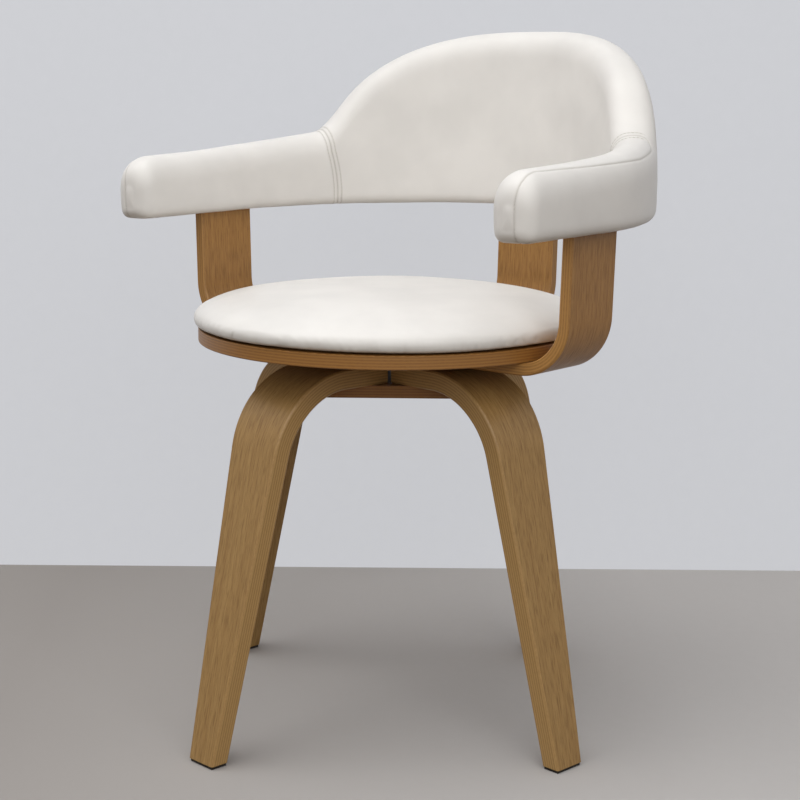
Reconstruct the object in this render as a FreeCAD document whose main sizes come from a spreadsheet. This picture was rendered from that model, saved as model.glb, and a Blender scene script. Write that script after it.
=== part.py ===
import FreeCAD, Part
import math
import os
import Sketcher
from FreeCAD import Placement, Rotation, Vector

# Swivel armchair: a round upholstered seat and a U-shaped upholstered back with arms turn on a
# ball-bearing plate above a base of four bent plywood legs. Millimetres, +Z up, the front towards -Y.
# The origin is on the swivel axis at floor level.

DOCUMENT = FreeCAD.newDocument("swivel_chair")
AXIS_UP = Vector(0, 0, 1)
NEAR = 0.1
UPRIGHT_SHARE = 0.99

# Driving sizes: name, value in millimetres or degrees, meaning
SIZES = (
    ("base_turn", -6, "turn of the base against the seat, as it stands"),
    ("leg_top_height", 402, "top face of the legs' flat ends"),
    ("leg_thickness", 21, "bent plywood"),
    ("leg_bend_radius", 100, "outer face of the bend"),
    ("leg_splay", 13, "lean of the legs from the vertical, degrees"),
    ("leg_reach", 271.5, "swivel axis to the outer face at the foot"),
    ("leg_inner_end", 40, "swivel axis to the flat end of a leg"),
    ("leg_width", 75, "flat end and bend"),
    ("leg_foot_width", 38, "at floor level"),
    ("leg_taper_height", 372, "level where the taper starts"),
    ("leg_edge", 1.6, "eased edges of the plywood strips"),
    ("foot_pad_height", 3.5, "felt under each foot"),
    ("foot_pad_inset", 1.5, "felt edge behind the wood"),
    ("board_side", 140, "square board clamped below the flat ends"),
    ("board_thickness", 13.5, "plywood"),
    ("board_corner", 6, "corner radius"),
    ("bolt_circle", 80, "swivel axis to the leg bolts"),
    ("bolt_radius", 3, "machine bolt shank"),
    ("bolt_head_radius", 7, "low round head"),
    ("bolt_head_height", 2.5, "low round head"),
    ("bolt_end", 0.8, "bolt end past the nut"),
    ("nut_recess_depth", 7.4, "recess in the clamped board for washer and nut"),
    ("nut_recess_play", 0.6, "recess wider than the washer, on the radius"),
    ("bolt_play", 0.25, "bolt hole wider than the shank, on the radius"),
    ("washer_radius", 8, "outside"),
    ("washer_thickness", 1.2, "steel"),
    ("nut_width", 10, "across flats"),
    ("nut_height", 5, "hexagon nut"),
    ("screw_radius", 2, "wood screw shank"),
    ("screw_head_radius", 4, "countersunk or pan head"),
    ("pan_head_height", 2.2, "pan head"),
    ("board_screw_distance", 62, "swivel axis to the board screws, along the leg"),
    ("board_screw_spread", 22, "leg centre line to the board screws"),
    ("board_screw_length", 28, "countersunk from below"),
    ("swivel_height", 19.5, "leg tops to the underside of the seat board"),
    ("plate_thickness", 2.5, "pressed steel plates of the swivel"),
    ("plate_corner", 12, "corner radius of the plates"),
    ("base_plate_side", 136, "lower plate, corners on the legs"),
    ("top_plate_side", 140, "upper plate, sides along the supports"),
    ("plate_screw_place", 57, "upper plate screws from both centre lines"),
    ("plate_screw_length", 11, "in the seat board"),
    ("race_radius", 50, "ball centres"),
    ("race_half_width", 9, "pressed ring beside the ball centres"),
    ("race_gap", 4.6, "lower ring to upper ring"),
    ("ball_radius", 4, "steel balls"),
    ("ball_count", 12, "balls in the cage"),
    ("ball_play", 0.3, "ball to race and to cage"),
    ("cage_thickness", 3.2, "ball cage"),
    ("cage_half_width", 7, "ball cage beside the ball centres"),
    ("pivot_radius", 11, "hollow rivet that holds both plates"),
    ("pivot_bore", 7.5, "radius of the rivet's hole"),
    ("pivot_fit", 0.05, "running clearance in the lower plate"),
    ("flange_radius", 16, "rolled ends of the rivet"),
    ("flange_thickness", 1.8, "rolled ends of the rivet"),
    ("flange_play", 0.5, "lower flange to the lower plate"),
    ("recess_radius", 18, "recess in the seat board over the rivet"),
    ("recess_depth", 2.6, "recess in the seat board over the rivet"),
    ("seat_radius", 210, "seat board"),
    ("seat_board_thickness", 15, "plywood"),
    ("seat_board_edge", 1.2, "eased rim"),
    ("support_thickness", 13, "bent plywood uprights"),
    ("support_width", 80, "bent plywood uprights"),
    ("support_bend_radius", 60, "outer face of the bend"),
    ("support_lean", 1.6, "outward lean of the uprights, degrees"),
    ("support_reach", 265.8, "swivel axis to the outer face at the top end"),
    ("support_inner_end", 76, "swivel axis to the flat end"),
    ("support_tongue", 44, "upright inside the upholstery"),
    ("support_screw_inner", 104, "swivel axis to the inner pair of screws"),
    ("support_screw_outer", 168, "swivel axis to the outer pair of screws"),
    ("support_screw_spread", 25, "centre line to the screws"),
    ("support_screw_length", 25, "countersunk from below"),
    ("cushion_base_radius", 196, "board inside the cushion"),
    ("cushion_base_thickness", 5, "board inside the cushion"),
    ("cushion_base_play", 0.3, "upholstery round the board"),
    ("cushion_screw_distance", 150, "swivel axis to the cushion screws"),
    ("cushion_screw_length", 19, "from below through the seat board"),
    ("cushion_radius", 214.5, "widest part of the cushion's side"),
    ("cushion_widest_height", 13, "widest part above the seat board"),
    ("cushion_foot_radius", 203, "drawn-in lower edge"),
    ("cushion_foot_gap", 0.5, "lower edge above the seat board"),
    ("cushion_shoulder_radius", 15, "rounded upper edge"),
    ("cushion_height", 39.5, "crown above the seat board"),
    ("wrap_underside", 551, "underside of back and arms at the swivel axis"),
    ("wrap_climb", 0.75, "rise of back and arms towards the back, degrees"),
    ("wrap_middle_radius", 258.5, "middle of the padded wall at the underside"),
    ("wrap_thickness", 47, "padded wall"),
    ("wrap_top_round", 21, "upper edges of the padding"),
    ("wrap_low_round", 11, "lower edges of the padding"),
    ("arm_height", 67.5, "underside to the top of the arm tips"),
    ("arm_swell", 18, "rise of the arms' top from the tips to the back"),
    ("arm_length", 145.5, "arm tips in front of the swivel axis"),
    ("arm_tip_round", 30, "upper corner of the arm tips"),
    ("arm_tip_side_round", 20, "inner and outer corners of the arm tips"),
    ("soft_play", 0.3, "padding round the shell and the uprights"),
    ("back_height", 202, "underside to the top of the back"),
    ("back_rise", 174, "upright half axis of the back's arch"),
    ("back_half_width", 268.5, "half of the back's arch, along the wall"),
    ("back_fullness", 2.63, "2 for an ellipse, more for a fuller arch"),
    ("back_foot", 234.5, "where the arch starts to flow into the arm, along the wall"),
    ("back_flow", 46.5, "length of that flow, along the wall"),
    ("back_seam", 262, "seam between back and arm, along the wall"),
    ("shell_radius", 264.5, "inner face of the plywood shell in the padding"),
    ("shell_thickness", 11, "plywood shell"),
    ("shell_underside_cover", 10, "padding below the shell"),
    ("shell_arm_cover", 13, "padding above the shell in the arms"),
    ("shell_back_cover", 22, "padding above the shell in the back"),
    ("shell_tip_cover", 16, "padding in front of the shell in the arms"),
    ("shell_back_half_width", 196, "half width of the shell's back"),
    ("shell_back_round", 110, "corner radius of the shell's back"),
    ("wrap_screw_length", 21, "through the upright into the shell"),
    ("wrap_screw_spread", 20, "centre line to the screws"),
    ("wrap_screw_drop", 20, "screws below the upright's top end"),
    ("relief_depth", 0.8, "shallow flat in the seat board where an upright starts to bend"),
    ("relief_side", 1, "that flat beside the upright"),
    ("screw_play", 0.06, "screw hole wider than the screw, on the radius"),
    ("overrun", 5, "cutters past what they cut"),
)

# Places worked out from the driving sizes
PLACES = (
    ("leg_underside", "sizes.leg_top_height - sizes.leg_thickness"),
    ("leg_bend_inner", "sizes.leg_bend_radius - sizes.leg_thickness"),
    ("leg_line_angle", "sizes.leg_splay - 90"),
    ("leg_half", "sizes.leg_width / 2"),
    ("leg_foot_half", "sizes.leg_foot_width / 2"),
    ("leg_outside", "sizes.leg_width / 2 + sizes.overrun"),
    ("pad_far", "sizes.leg_reach - sizes.foot_pad_inset"),
    ("pad_near", "sizes.leg_reach - sizes.leg_thickness / cos(sizes.leg_splay * 1 deg)"
                 " + sizes.foot_pad_inset"),
    ("pad_half", "places.leg_foot_half - sizes.foot_pad_inset"),
    ("board_underside", "places.leg_underside - sizes.board_thickness"),
    ("board_half", "sizes.board_side / 2"),
    ("nut_recess_top", "places.board_underside + sizes.nut_recess_depth"),
    ("nut_recess_radius", "sizes.washer_radius + sizes.nut_recess_play"),
    ("base_plate_top", "sizes.leg_top_height + sizes.plate_thickness"),
    ("seat_board_underside", "sizes.leg_top_height + sizes.swivel_height"),
    ("top_plate_underside", "places.seat_board_underside - sizes.plate_thickness"),
    ("base_plate_half", "sizes.base_plate_side / 2"),
    ("top_plate_half", "sizes.top_plate_side / 2"),
    ("race_inner", "sizes.race_radius - sizes.race_half_width"),
    ("race_outer", "sizes.race_radius + sizes.race_half_width"),
    ("groove_radius", "sizes.ball_radius + sizes.ball_play"),
    ("lower_bore", "sizes.pivot_radius + sizes.pivot_fit"),
    ("upper_bore", "sizes.pivot_radius + sizes.pivot_fit"),
    ("ball_level", "(places.base_plate_top + places.top_plate_underside) / 2"),
    ("lower_ring_top", "places.ball_level - sizes.race_gap / 2"),
    ("upper_ring_foot", "places.ball_level + sizes.race_gap / 2"),
    ("cage_inner", "sizes.race_radius - sizes.cage_half_width"),
    ("cage_outer", "sizes.race_radius + sizes.cage_half_width"),
    ("cage_underside", "places.ball_level - sizes.cage_thickness / 2"),
    ("lower_flange_top", "sizes.leg_top_height - sizes.flange_play"),
    ("rivet_foot", "places.lower_flange_top - sizes.flange_thickness"),
    ("rivet_top", "places.seat_board_underside + sizes.flange_thickness"),
    ("seat_board_top", "places.seat_board_underside + sizes.seat_board_thickness"),
    ("support_flat_level", "places.seat_board_underside - sizes.support_thickness"),
    ("support_bend_inner", "sizes.support_bend_radius - sizes.support_thickness"),
    ("support_line_angle", "90 - sizes.support_lean"),
    ("support_top", "sizes.wrap_underside + sizes.support_tongue"),
    ("support_bend_start", "sizes.support_reach - sizes.support_bend_radius"
                           " / cos(sizes.support_lean * 1 deg)"
                           " - (places.support_top - places.support_flat_level"
                           " - sizes.support_bend_radius) * tan(sizes.support_lean * 1 deg)"),
    ("relief_half", "sizes.support_width / 2 + sizes.relief_side"),
    ("relief_out", "sizes.seat_radius + sizes.overrun"),
    ("cushion_base_top", "places.seat_board_top + sizes.cushion_base_thickness"),
    ("cushion_recess", "sizes.cushion_base_radius + sizes.cushion_base_play"),
    ("cushion_foot", "places.seat_board_top + sizes.cushion_foot_gap"),
    ("cushion_widest", "places.seat_board_top + sizes.cushion_widest_height"),
    ("cushion_top", "places.seat_board_top + sizes.cushion_height"),
    ("cushion_shoulder", "sizes.cushion_radius - sizes.cushion_shoulder_radius"),
    ("shell_inner", "sizes.shell_radius"),
    ("shell_outer", "sizes.shell_radius + sizes.shell_thickness"),
    ("shell_underside", "sizes.wrap_underside + sizes.shell_underside_cover"),
    ("shell_arm_top", "sizes.wrap_underside + sizes.arm_height - sizes.shell_arm_cover"),
    ("shell_back_top", "sizes.wrap_underside + sizes.back_height - sizes.shell_back_cover"),
    ("shell_height", "places.shell_back_top - places.shell_underside"),
    ("shell_front", "sizes.arm_length - sizes.shell_tip_cover"),
    ("shell_half_width", "sizes.shell_back_half_width"),
    ("shell_outside", "places.shell_outer + sizes.overrun"),
    ("shell_above", "places.shell_back_top + sizes.overrun"),
    ("shell_corner_level", "places.shell_back_top - sizes.shell_back_round"),
    ("shell_corner_middle", "sizes.shell_back_half_width - sizes.shell_back_round"),
    ("space_inner", "places.shell_inner - sizes.soft_play"),
    ("space_outer", "places.shell_outer + sizes.soft_play"),
    ("space_underside", "places.shell_underside - sizes.soft_play"),
    ("space_arm_top", "places.shell_arm_top + sizes.soft_play"),
    ("space_back_top", "places.shell_back_top + sizes.soft_play"),
    ("space_height", "places.space_back_top - places.space_underside"),
    ("space_front", "places.shell_front + sizes.soft_play"),
    ("space_half_width", "places.shell_half_width + sizes.soft_play"),
    ("tongue_foot", "sizes.wrap_underside - sizes.overrun"),
    ("tongue_top", "places.support_top + sizes.soft_play"),
    ("tongue_out_top", "sizes.support_reach + sizes.soft_play"),
    ("tongue_out_foot", "places.tongue_out_top - (places.tongue_top - places.tongue_foot)"
                        " * tan(sizes.support_lean * 1 deg)"),
    ("tongue_across", "sizes.support_thickness / cos(sizes.support_lean * 1 deg)"
                      " + 2 * sizes.soft_play"),
    ("tongue_in_top", "places.tongue_out_top - places.tongue_across"),
    ("tongue_in_foot", "places.tongue_out_foot - places.tongue_across"),
    ("tongue_width", "sizes.support_width + 2 * sizes.soft_play"),
)


def make_sheet(name, rows, mark):
    """A sheet with a name, a value or formula and, where there is one, a meaning in each row."""
    sheet = DOCUMENT.addObject("Spreadsheet::Sheet", name)
    for number, row in enumerate(rows, 1):
        sheet.set(f"A{number}", row[0])
        sheet.set(f"B{number}", mark + str(row[1]))
        sheet.setAlias(f"B{number}", row[0])
        if len(row) > 2:
            sheet.set(f"C{number}", row[2])
    return sheet


SIZE_SHEET = make_sheet("sizes", SIZES, "")
DOCUMENT.recompute()
PLACE_SHEET = make_sheet("places", PLACES, "=")
DOCUMENT.recompute()
SIZE_NAMES = [row[0] for row in SIZES]


def size(name):
    """The number that a size or place has now."""
    sheet = SIZE_SHEET if name in SIZE_NAMES else PLACE_SHEET
    return float(sheet.get(name))


def cell(name):
    """The expression that ties a property to a size or place; a leading minus turns its sign."""
    bare = name.lstrip("-")
    sheet = "sizes" if bare in SIZE_NAMES else "places"
    return f"{name[:len(name) - len(bare)]}{sheet}.{bare}"


def signed(name):
    """The number for a name that may have a leading minus, or zero for none."""
    if not name:
        return 0.0
    bare = name.lstrip("-")
    return -size(bare) if name.startswith("-") else size(bare)


# Sketches and bodies

def new_body(name):
    """An empty body."""
    return DOCUMENT.addObject("PartDesign::Body", name)


def new_sketch(body, name, role="XY_Plane", lift=None):
    """A sketch on one of the body's own origin planes, raised by a size or place."""
    sketch = body.newObject("Sketcher::SketchObject", name)
    plane = [item for item in body.Origin.OriginFeatures if item.Role == role][0]
    sketch.AttachmentSupport = (plane, [""])
    sketch.MapMode = "FlatFace"
    if lift:
        sketch.setExpression("AttachmentOffset.Base.z", cell(lift))
    return sketch


def bind(sketch, constraint, name):
    """Add a constraint whose value follows a size or place."""
    index = sketch.addConstraint(constraint)
    sketch.setExpression(f"Constraints[{index}]", cell(name))


def hold_point(sketch, geometry, position, across, up):
    """Fix one point of a sketch by its two coordinates; an empty name is the axis itself."""
    if across:
        bind(sketch, Sketcher.Constraint("DistanceX", -1, 1, geometry, position, signed(across)),
             across)
    else:
        sketch.addConstraint(Sketcher.Constraint("PointOnObject", geometry, position, -2))
    if up:
        bind(sketch, Sketcher.Constraint("DistanceY", -1, 1, geometry, position, signed(up)), up)
    else:
        sketch.addConstraint(Sketcher.Constraint("PointOnObject", geometry, position, -1))


def join_ends(sketch, first, second):
    """The end of one edge is the start of another."""
    sketch.addConstraint(Sketcher.Constraint("Coincident", first, 2, second, 1))


def closed_outline(sketch, corners):
    """Straight edges through named corners."""
    points = [Vector(signed(across), signed(up), 0) for across, up in corners]
    start = sketch.GeometryCount
    count = len(corners)
    for index, point in enumerate(points):
        sketch.addGeometry(Part.LineSegment(point, points[(index + 1) % count]), False)
    for index in range(count):
        join_ends(sketch, start + index, start + (index + 1) % count)
    for index, (across, up) in enumerate(corners):
        hold_point(sketch, start + index, 1, across, up)


def round_outline(sketch, across, up, radius):
    """A circle."""
    centre = Vector(signed(across), signed(up), 0)
    index = sketch.addGeometry(Part.Circle(centre, AXIS_UP, size(radius)), False)
    bind(sketch, Sketcher.Constraint("Radius", index, size(radius)), radius)
    if across or up:
        hold_point(sketch, index, 3, across, up)
    else:
        sketch.addConstraint(Sketcher.Constraint("Coincident", index, 3, -1, 1))


def pad(body, sketch, name, length, side="One side"):
    """Extrude a sketch."""
    feature = body.newObject("PartDesign::Pad", name)
    feature.Profile = sketch
    feature.SideType = side
    feature.setExpression("Length", cell(length))
    return feature


def pocket_through(body, sketch, name):
    """Cut a sketch through the whole body, both ways."""
    feature = body.newObject("PartDesign::Pocket", name)
    feature.Profile = sketch
    feature.SideType = "Symmetric"
    feature.Type = "ThroughAll"
    return feature


def pocket_up(body, sketch, name, depth):
    """Cut a sketch of an underside upwards into the body."""
    feature = body.newObject("PartDesign::Pocket", name)
    feature.Profile = sketch
    feature.Reversed = True
    feature.setExpression("Length", cell(depth))
    return feature


def spin(body, sketch, name, kind="PartDesign::Revolution"):
    """Turn a sketch of the XZ plane once round the swivel axis."""
    feature = body.newObject(kind, name)
    feature.Profile = sketch
    feature.ReferenceAxis = (sketch, ["V_Axis"])
    feature.Angle = 360
    return feature


def edge_middle(edge):
    """The point halfway along an edge."""
    return edge.valueAt((edge.FirstParameter + edge.LastParameter) / 2)


def ease(body, kind, name, amount, wanted):
    """Fillet or chamfer the edges that the test picks out."""
    DOCUMENT.recompute()
    before = body.Tip
    edges = enumerate(before.Shape.Edges, 1)
    names = [f"Edge{number}" for number, edge in edges if wanted(edge)]
    feature = body.newObject(kind, name)
    feature.Base = (before, names)
    feature.setExpression("Radius" if kind == "PartDesign::Fillet" else "Size", cell(amount))
    body.Tip = feature
    return feature


def turn_body(body, formula):
    """Turn a body about the swivel axis by a formula in degrees."""
    body.Placement = Placement(Vector(0, 0, 0), Rotation(AXIS_UP, 0))
    body.setExpression(".Placement.Rotation.Angle", formula)


def cut_away(name, base, tool):
    """One shape less another."""
    feature = DOCUMENT.addObject("Part::Cut", name)
    feature.Base = base
    feature.Tool = tool
    return feature


def is_upright(edge):
    """Straight edges along Z."""
    return abs(edge.tangentAt(edge.FirstParameter).z) > UPRIGHT_SHARE and len(edge.Vertexes) == 2


# Bent plywood strips: legs bend down, uprights bend up

def bent_profile(sketch, bend, flat, end, reach, inner, outer_radius, inner_radius, lean, line):
    """A flat end, a bend and a leaning straight part; bend is -1 downwards and 1 upwards."""
    angle = math.radians(size(lean))
    normal = Vector(math.cos(angle), -bend * math.sin(angle), 0)
    outer = size(outer_radius)
    small = size(inner_radius)
    thick = outer - small
    middle_up = size(flat) + bend * outer
    past_normal = size(reach) * normal.x + size(end) * normal.y - outer - middle_up * normal.y
    middle = Vector(past_normal / normal.x, middle_up, 0)
    flat_outer = Vector(size(inner), size(flat), 0)
    bend_outer = Vector(middle.x, size(flat), 0)
    line_outer = middle + normal * outer
    end_outer = Vector(size(reach), size(end), 0)
    end_inner = Vector(size(reach) - thick / normal.x, size(end), 0)
    line_inner = middle + normal * small
    bend_inner = Vector(middle.x, size(flat) + bend * thick, 0)
    flat_inner = Vector(size(inner), size(flat) + bend * thick, 0)
    start_angle = angle if bend < 0 else math.radians(270)
    stop_angle = math.radians(90) if bend < 0 else math.radians(360) - angle
    outer_circle = Part.Circle(middle, AXIS_UP, outer)
    inner_circle = Part.Circle(middle, AXIS_UP, small)
    for item in (
        Part.LineSegment(flat_outer, bend_outer),
        Part.ArcOfCircle(outer_circle, start_angle, stop_angle),
        Part.LineSegment(line_outer, end_outer),
        Part.LineSegment(end_outer, end_inner),
        Part.LineSegment(end_inner, line_inner),
        Part.ArcOfCircle(inner_circle, start_angle, stop_angle),
        Part.LineSegment(bend_inner, flat_inner),
        Part.LineSegment(flat_inner, flat_outer),
    ):
        sketch.addGeometry(item, False)
    near, far = (2, 1) if bend < 0 else (1, 2)
    for first, second in ((2, 3), (3, 4), (6, 7), (7, 0)):
        join_ends(sketch, first, second)
    for constraint in (
        Sketcher.Constraint("Tangent", 0, 2, 1, near),
        Sketcher.Constraint("Tangent", 1, far, 2, 1),
        Sketcher.Constraint("Tangent", 4, 2, 5, far),
        Sketcher.Constraint("Tangent", 5, near, 6, 1),
        Sketcher.Constraint("Horizontal", 0),
        Sketcher.Constraint("Horizontal", 3),
        Sketcher.Constraint("Horizontal", 6),
        Sketcher.Constraint("Vertical", 7),
        Sketcher.Constraint("Parallel", 2, 4),
        Sketcher.Constraint("Coincident", 1, 3, 5, 3),
    ):
        sketch.addConstraint(constraint)
    bind(sketch, Sketcher.Constraint("Radius", 1, outer), outer_radius)
    bind(sketch, Sketcher.Constraint("Radius", 5, small), inner_radius)
    bind(sketch, Sketcher.Constraint("Angle", 2, math.radians(size(line))), line)
    hold_point(sketch, 0, 1, inner, flat)
    hold_point(sketch, 2, 2, reach, end)


def make_leg(name, turn):
    """A leg that narrows to its foot."""
    body = new_body(f"{name}_strip")
    profile = new_sketch(body, f"{name}_profile", "XZ_Plane")
    bent_profile(profile, -1, "leg_top_height", "foot_pad_height", "leg_reach", "leg_inner_end",
                 "leg_bend_radius", "leg_bend_inner", "leg_splay", "leg_line_angle")
    pad(body, profile, f"{name}_bend", "leg_width", "Symmetric")
    taper = new_sketch(body, f"{name}_taper_outline", "YZ_Plane")
    closed_outline(taper, (
        ("leg_foot_half", ""), ("leg_outside", ""),
        ("leg_outside", "leg_taper_height"), ("leg_half", "leg_taper_height")))
    closed_outline(taper, (
        ("-leg_foot_half", ""), ("-leg_outside", ""),
        ("-leg_outside", "leg_taper_height"), ("-leg_half", "leg_taper_height")))
    pocket_through(body, taper, f"{name}_taper")
    foot = size("foot_pad_height")
    shoulder = size("leg_taper_height")
    inner = size("leg_inner_end")

    def along_strip(edge):
        spot = edge_middle(edge)
        across = abs(edge.Vertexes[0].Point.z - shoulder) < NEAR
        across = across and abs(edge.Vertexes[-1].Point.z - shoulder) < NEAR
        return abs(spot.y) > NEAR and spot.z > foot + NEAR and spot.x > inner + NEAR and not across

    ease(body, "PartDesign::Chamfer", f"{name}_eased", "leg_edge", along_strip)
    turn_body(body, f"sizes.base_turn + {turn}")
    return body


def make_support(name, turn):
    """An upright that carries the back and arms."""
    body = new_body(f"{name}_strip")
    profile = new_sketch(body, f"{name}_profile", "XZ_Plane")
    bent_profile(profile, 1, "support_flat_level", "support_top", "support_reach",
                 "support_inner_end", "support_bend_radius", "support_bend_inner",
                 "support_lean", "support_line_angle")
    pad(body, profile, f"{name}_bend", "support_width", "Symmetric")
    top = size("support_top")
    inner = size("support_inner_end")

    def along_strip(edge):
        spot = edge_middle(edge)
        return abs(spot.y) > NEAR and spot.z < top - NEAR and spot.x > inner + NEAR

    ease(body, "PartDesign::Chamfer", f"{name}_eased", "leg_edge", along_strip)
    turn_body(body, str(turn))
    return body


LEG_TURNS = (("front", 270), ("right", 180), ("back", 90), ("left", 0))
LEG_STRIPS = {side: make_leg(f"leg_{side}", turn) for side, turn in LEG_TURNS}
SUPPORT_TURNS = (("left", 0), ("back", 90), ("right", 180))
SUPPORT_STRIPS = {side: make_support(f"support_{side}", turn) for side, turn in SUPPORT_TURNS}
DOCUMENT.recompute()


# Fasteners: turned shapes and the holes they need

def turned(points):
    """A solid of revolution about Z from radius and height pairs."""
    corners = [Vector(radius, 0, height) for radius, height in points]
    face = Part.Face(Part.makePolygon(corners + corners[:1]))
    return face.revolve(Vector(0, 0, 0), AXIS_UP, 360)


def screw_shape(length, play):
    """A countersunk wood screw that enters at zero height and runs up; with play, its hole."""
    head = size("screw_head_radius") + play
    shank = size("screw_radius") + play
    end = size(length) + play
    sunk = size("screw_head_radius") - size("screw_radius")
    start = -size("overrun") if play else 0
    points = [(0, start), (head, start)]
    if play:
        points.append((head, 0))
    points += [(shank, sunk), (shank, end - shank), (0, end)]
    return turned(points)


def headed_shape(head, head_height, shank, length, play):
    """A bolt or screw whose head lies on the surface; with play, its hole."""
    end = size(length) if isinstance(length, str) else length
    radius = size(shank) + play
    if play:
        return turned([(0, -size("overrun")), (radius, -size("overrun")),
                       (radius, end + play), (0, end + play)])
    top = size(head_height)
    return turned([(0, -top), (size(head) - top / 2, -top), (size(head), -top / 2),
                   (size(head), 0), (radius, 0), (radius, end), (0, end)])


def placed_copies(shape, placements):
    """Copies of one shape as a single compound."""
    copies = []
    for placement in placements:
        copy = shape.copy()
        copy.Placement = placement
        copies.append(copy)
    return Part.makeCompound(copies)


def spots(turns, points, height, down=False):
    """Placements at points given along and across each turned direction."""
    tilt = Rotation(Vector(1, 0, 0), 180) if down else Rotation()
    result = []
    for turn in turns:
        rotation = Rotation(AXIS_UP, turn)
        for along, across in points:
            place = rotation.multVec(Vector(along, across, 0))
            result.append(Placement(place + Vector(0, 0, height), rotation * tilt))
    return result


def feature_of(name, shape):
    """A document object that holds a finished shape."""
    feature = DOCUMENT.addObject("Part::Feature", name)
    feature.Shape = shape
    return feature


SCREW_PLAY = size("screw_play")
BASE_TURNS = [size("base_turn") + quarter for quarter in (0, 90, 180, 270)]
SEAT_TURNS = [turn for side, turn in SUPPORT_TURNS]

bolt_spots = spots(BASE_TURNS, [(size("bolt_circle"), 0)], size("base_plate_top"), down=True)
washer_level = size("nut_recess_top") - size("washer_thickness")
nut_level = washer_level - size("nut_height")
bolt_length = size("base_plate_top") - nut_level + size("bolt_end")
bolt_parts = ("bolt_head_radius", "bolt_head_height", "bolt_radius", bolt_length)
LEG_BOLTS = feature_of("leg_bolts", placed_copies(headed_shape(*bolt_parts, 0), bolt_spots))
BOLT_HOLES = feature_of("bolt_holes", placed_copies(
    headed_shape(*bolt_parts, size("bolt_play")), bolt_spots))

washer = Part.makeCylinder(size("washer_radius"), size("washer_thickness"))
washer = washer.cut(Part.makeCylinder(size("bolt_radius") + size("bolt_play"),
                                      size("washer_thickness")))
washer_spots = spots(BASE_TURNS, [(size("bolt_circle"), 0)], washer_level)
LEG_WASHERS = feature_of("leg_washers", placed_copies(washer, washer_spots))

nut_corner = size("nut_width") / math.sqrt(3)
nut_outline = [Vector(nut_corner * math.cos(math.radians(angle)),
                      nut_corner * math.sin(math.radians(angle)), 0)
               for angle in range(0, 361, 60)]
nut = Part.Face(Part.makePolygon(nut_outline)).extrude(Vector(0, 0, size("nut_height")))
nut = nut.cut(Part.makeCylinder(size("bolt_radius") + SCREW_PLAY, size("nut_height")))
nut_spots = spots(BASE_TURNS, [(size("bolt_circle"), 0)], nut_level)
LEG_NUTS = feature_of("leg_nuts", placed_copies(nut, nut_spots))

nut_recess = Part.makeCylinder(size("nut_recess_radius"), size("nut_recess_depth"))
recess_spots = spots(BASE_TURNS, [(size("bolt_circle"), 0)], size("board_underside"))
NUT_RECESSES = feature_of("nut_recesses", placed_copies(nut_recess, recess_spots))

board_pairs = [(size("board_screw_distance"), size("board_screw_spread")),
               (size("board_screw_distance"), -size("board_screw_spread"))]
board_spots = spots(BASE_TURNS, board_pairs, size("board_underside"))
BOARD_SCREWS = feature_of("board_screws", placed_copies(
    screw_shape("board_screw_length", 0), board_spots))
BOARD_HOLES = feature_of("board_screw_holes", placed_copies(
    screw_shape("board_screw_length", SCREW_PLAY), board_spots))

corner = size("plate_screw_place")
plate_spots = spots((0, 90, 180, 270), [(corner, corner)], size("top_plate_underside"))
plate_parts = ("screw_head_radius", "pan_head_height", "screw_radius", "plate_screw_length")
PLATE_SCREWS = feature_of("plate_screws", placed_copies(headed_shape(*plate_parts, 0), plate_spots))
PLATE_HOLES = feature_of("plate_screw_holes", placed_copies(
    headed_shape(*plate_parts, SCREW_PLAY), plate_spots))

support_points = [(size(distance), side * size("support_screw_spread"))
                  for distance in ("support_screw_inner", "support_screw_outer")
                  for side in (-1, 1)]
support_spots = spots(SEAT_TURNS, support_points, size("support_flat_level"))
SUPPORT_SCREWS = feature_of("support_screws", placed_copies(
    screw_shape("support_screw_length", 0), support_spots))
SUPPORT_HOLES = feature_of("support_screw_holes", placed_copies(
    screw_shape("support_screw_length", SCREW_PLAY), support_spots))

cushion_spots = spots((45, 135, 225, 315), [(size("cushion_screw_distance"), 0)],
                      size("seat_board_underside"))
CUSHION_SCREWS = feature_of("cushion_screws", placed_copies(
    screw_shape("cushion_screw_length", 0), cushion_spots))
CUSHION_HOLES = feature_of("cushion_screw_holes", placed_copies(
    screw_shape("cushion_screw_length", SCREW_PLAY), cushion_spots))

lean = math.radians(size("support_lean"))
wrap_screw_height = size("support_top") - size("wrap_screw_drop")
wrap_screw_reach = (size("support_reach") - size("wrap_screw_drop") * math.tan(lean)
                    - size("support_thickness") / math.cos(lean))
outward = Rotation(Vector(0, 1, 0), 90 + size("support_lean"))
wrap_spots = []
for turn in SEAT_TURNS:
    for side in (-1, 1):
        rotation = Rotation(AXIS_UP, turn)
        place = Vector(wrap_screw_reach, side * size("wrap_screw_spread"), wrap_screw_height)
        wrap_spots.append(Placement(rotation.multVec(place), rotation * outward))
WRAP_SCREWS = feature_of("wrap_screws", placed_copies(
    screw_shape("wrap_screw_length", 0), wrap_spots))
WRAP_HOLES = feature_of("wrap_screw_holes", placed_copies(
    screw_shape("wrap_screw_length", SCREW_PLAY), wrap_spots))


# Base: legs, felt pads, clamped board

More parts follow.
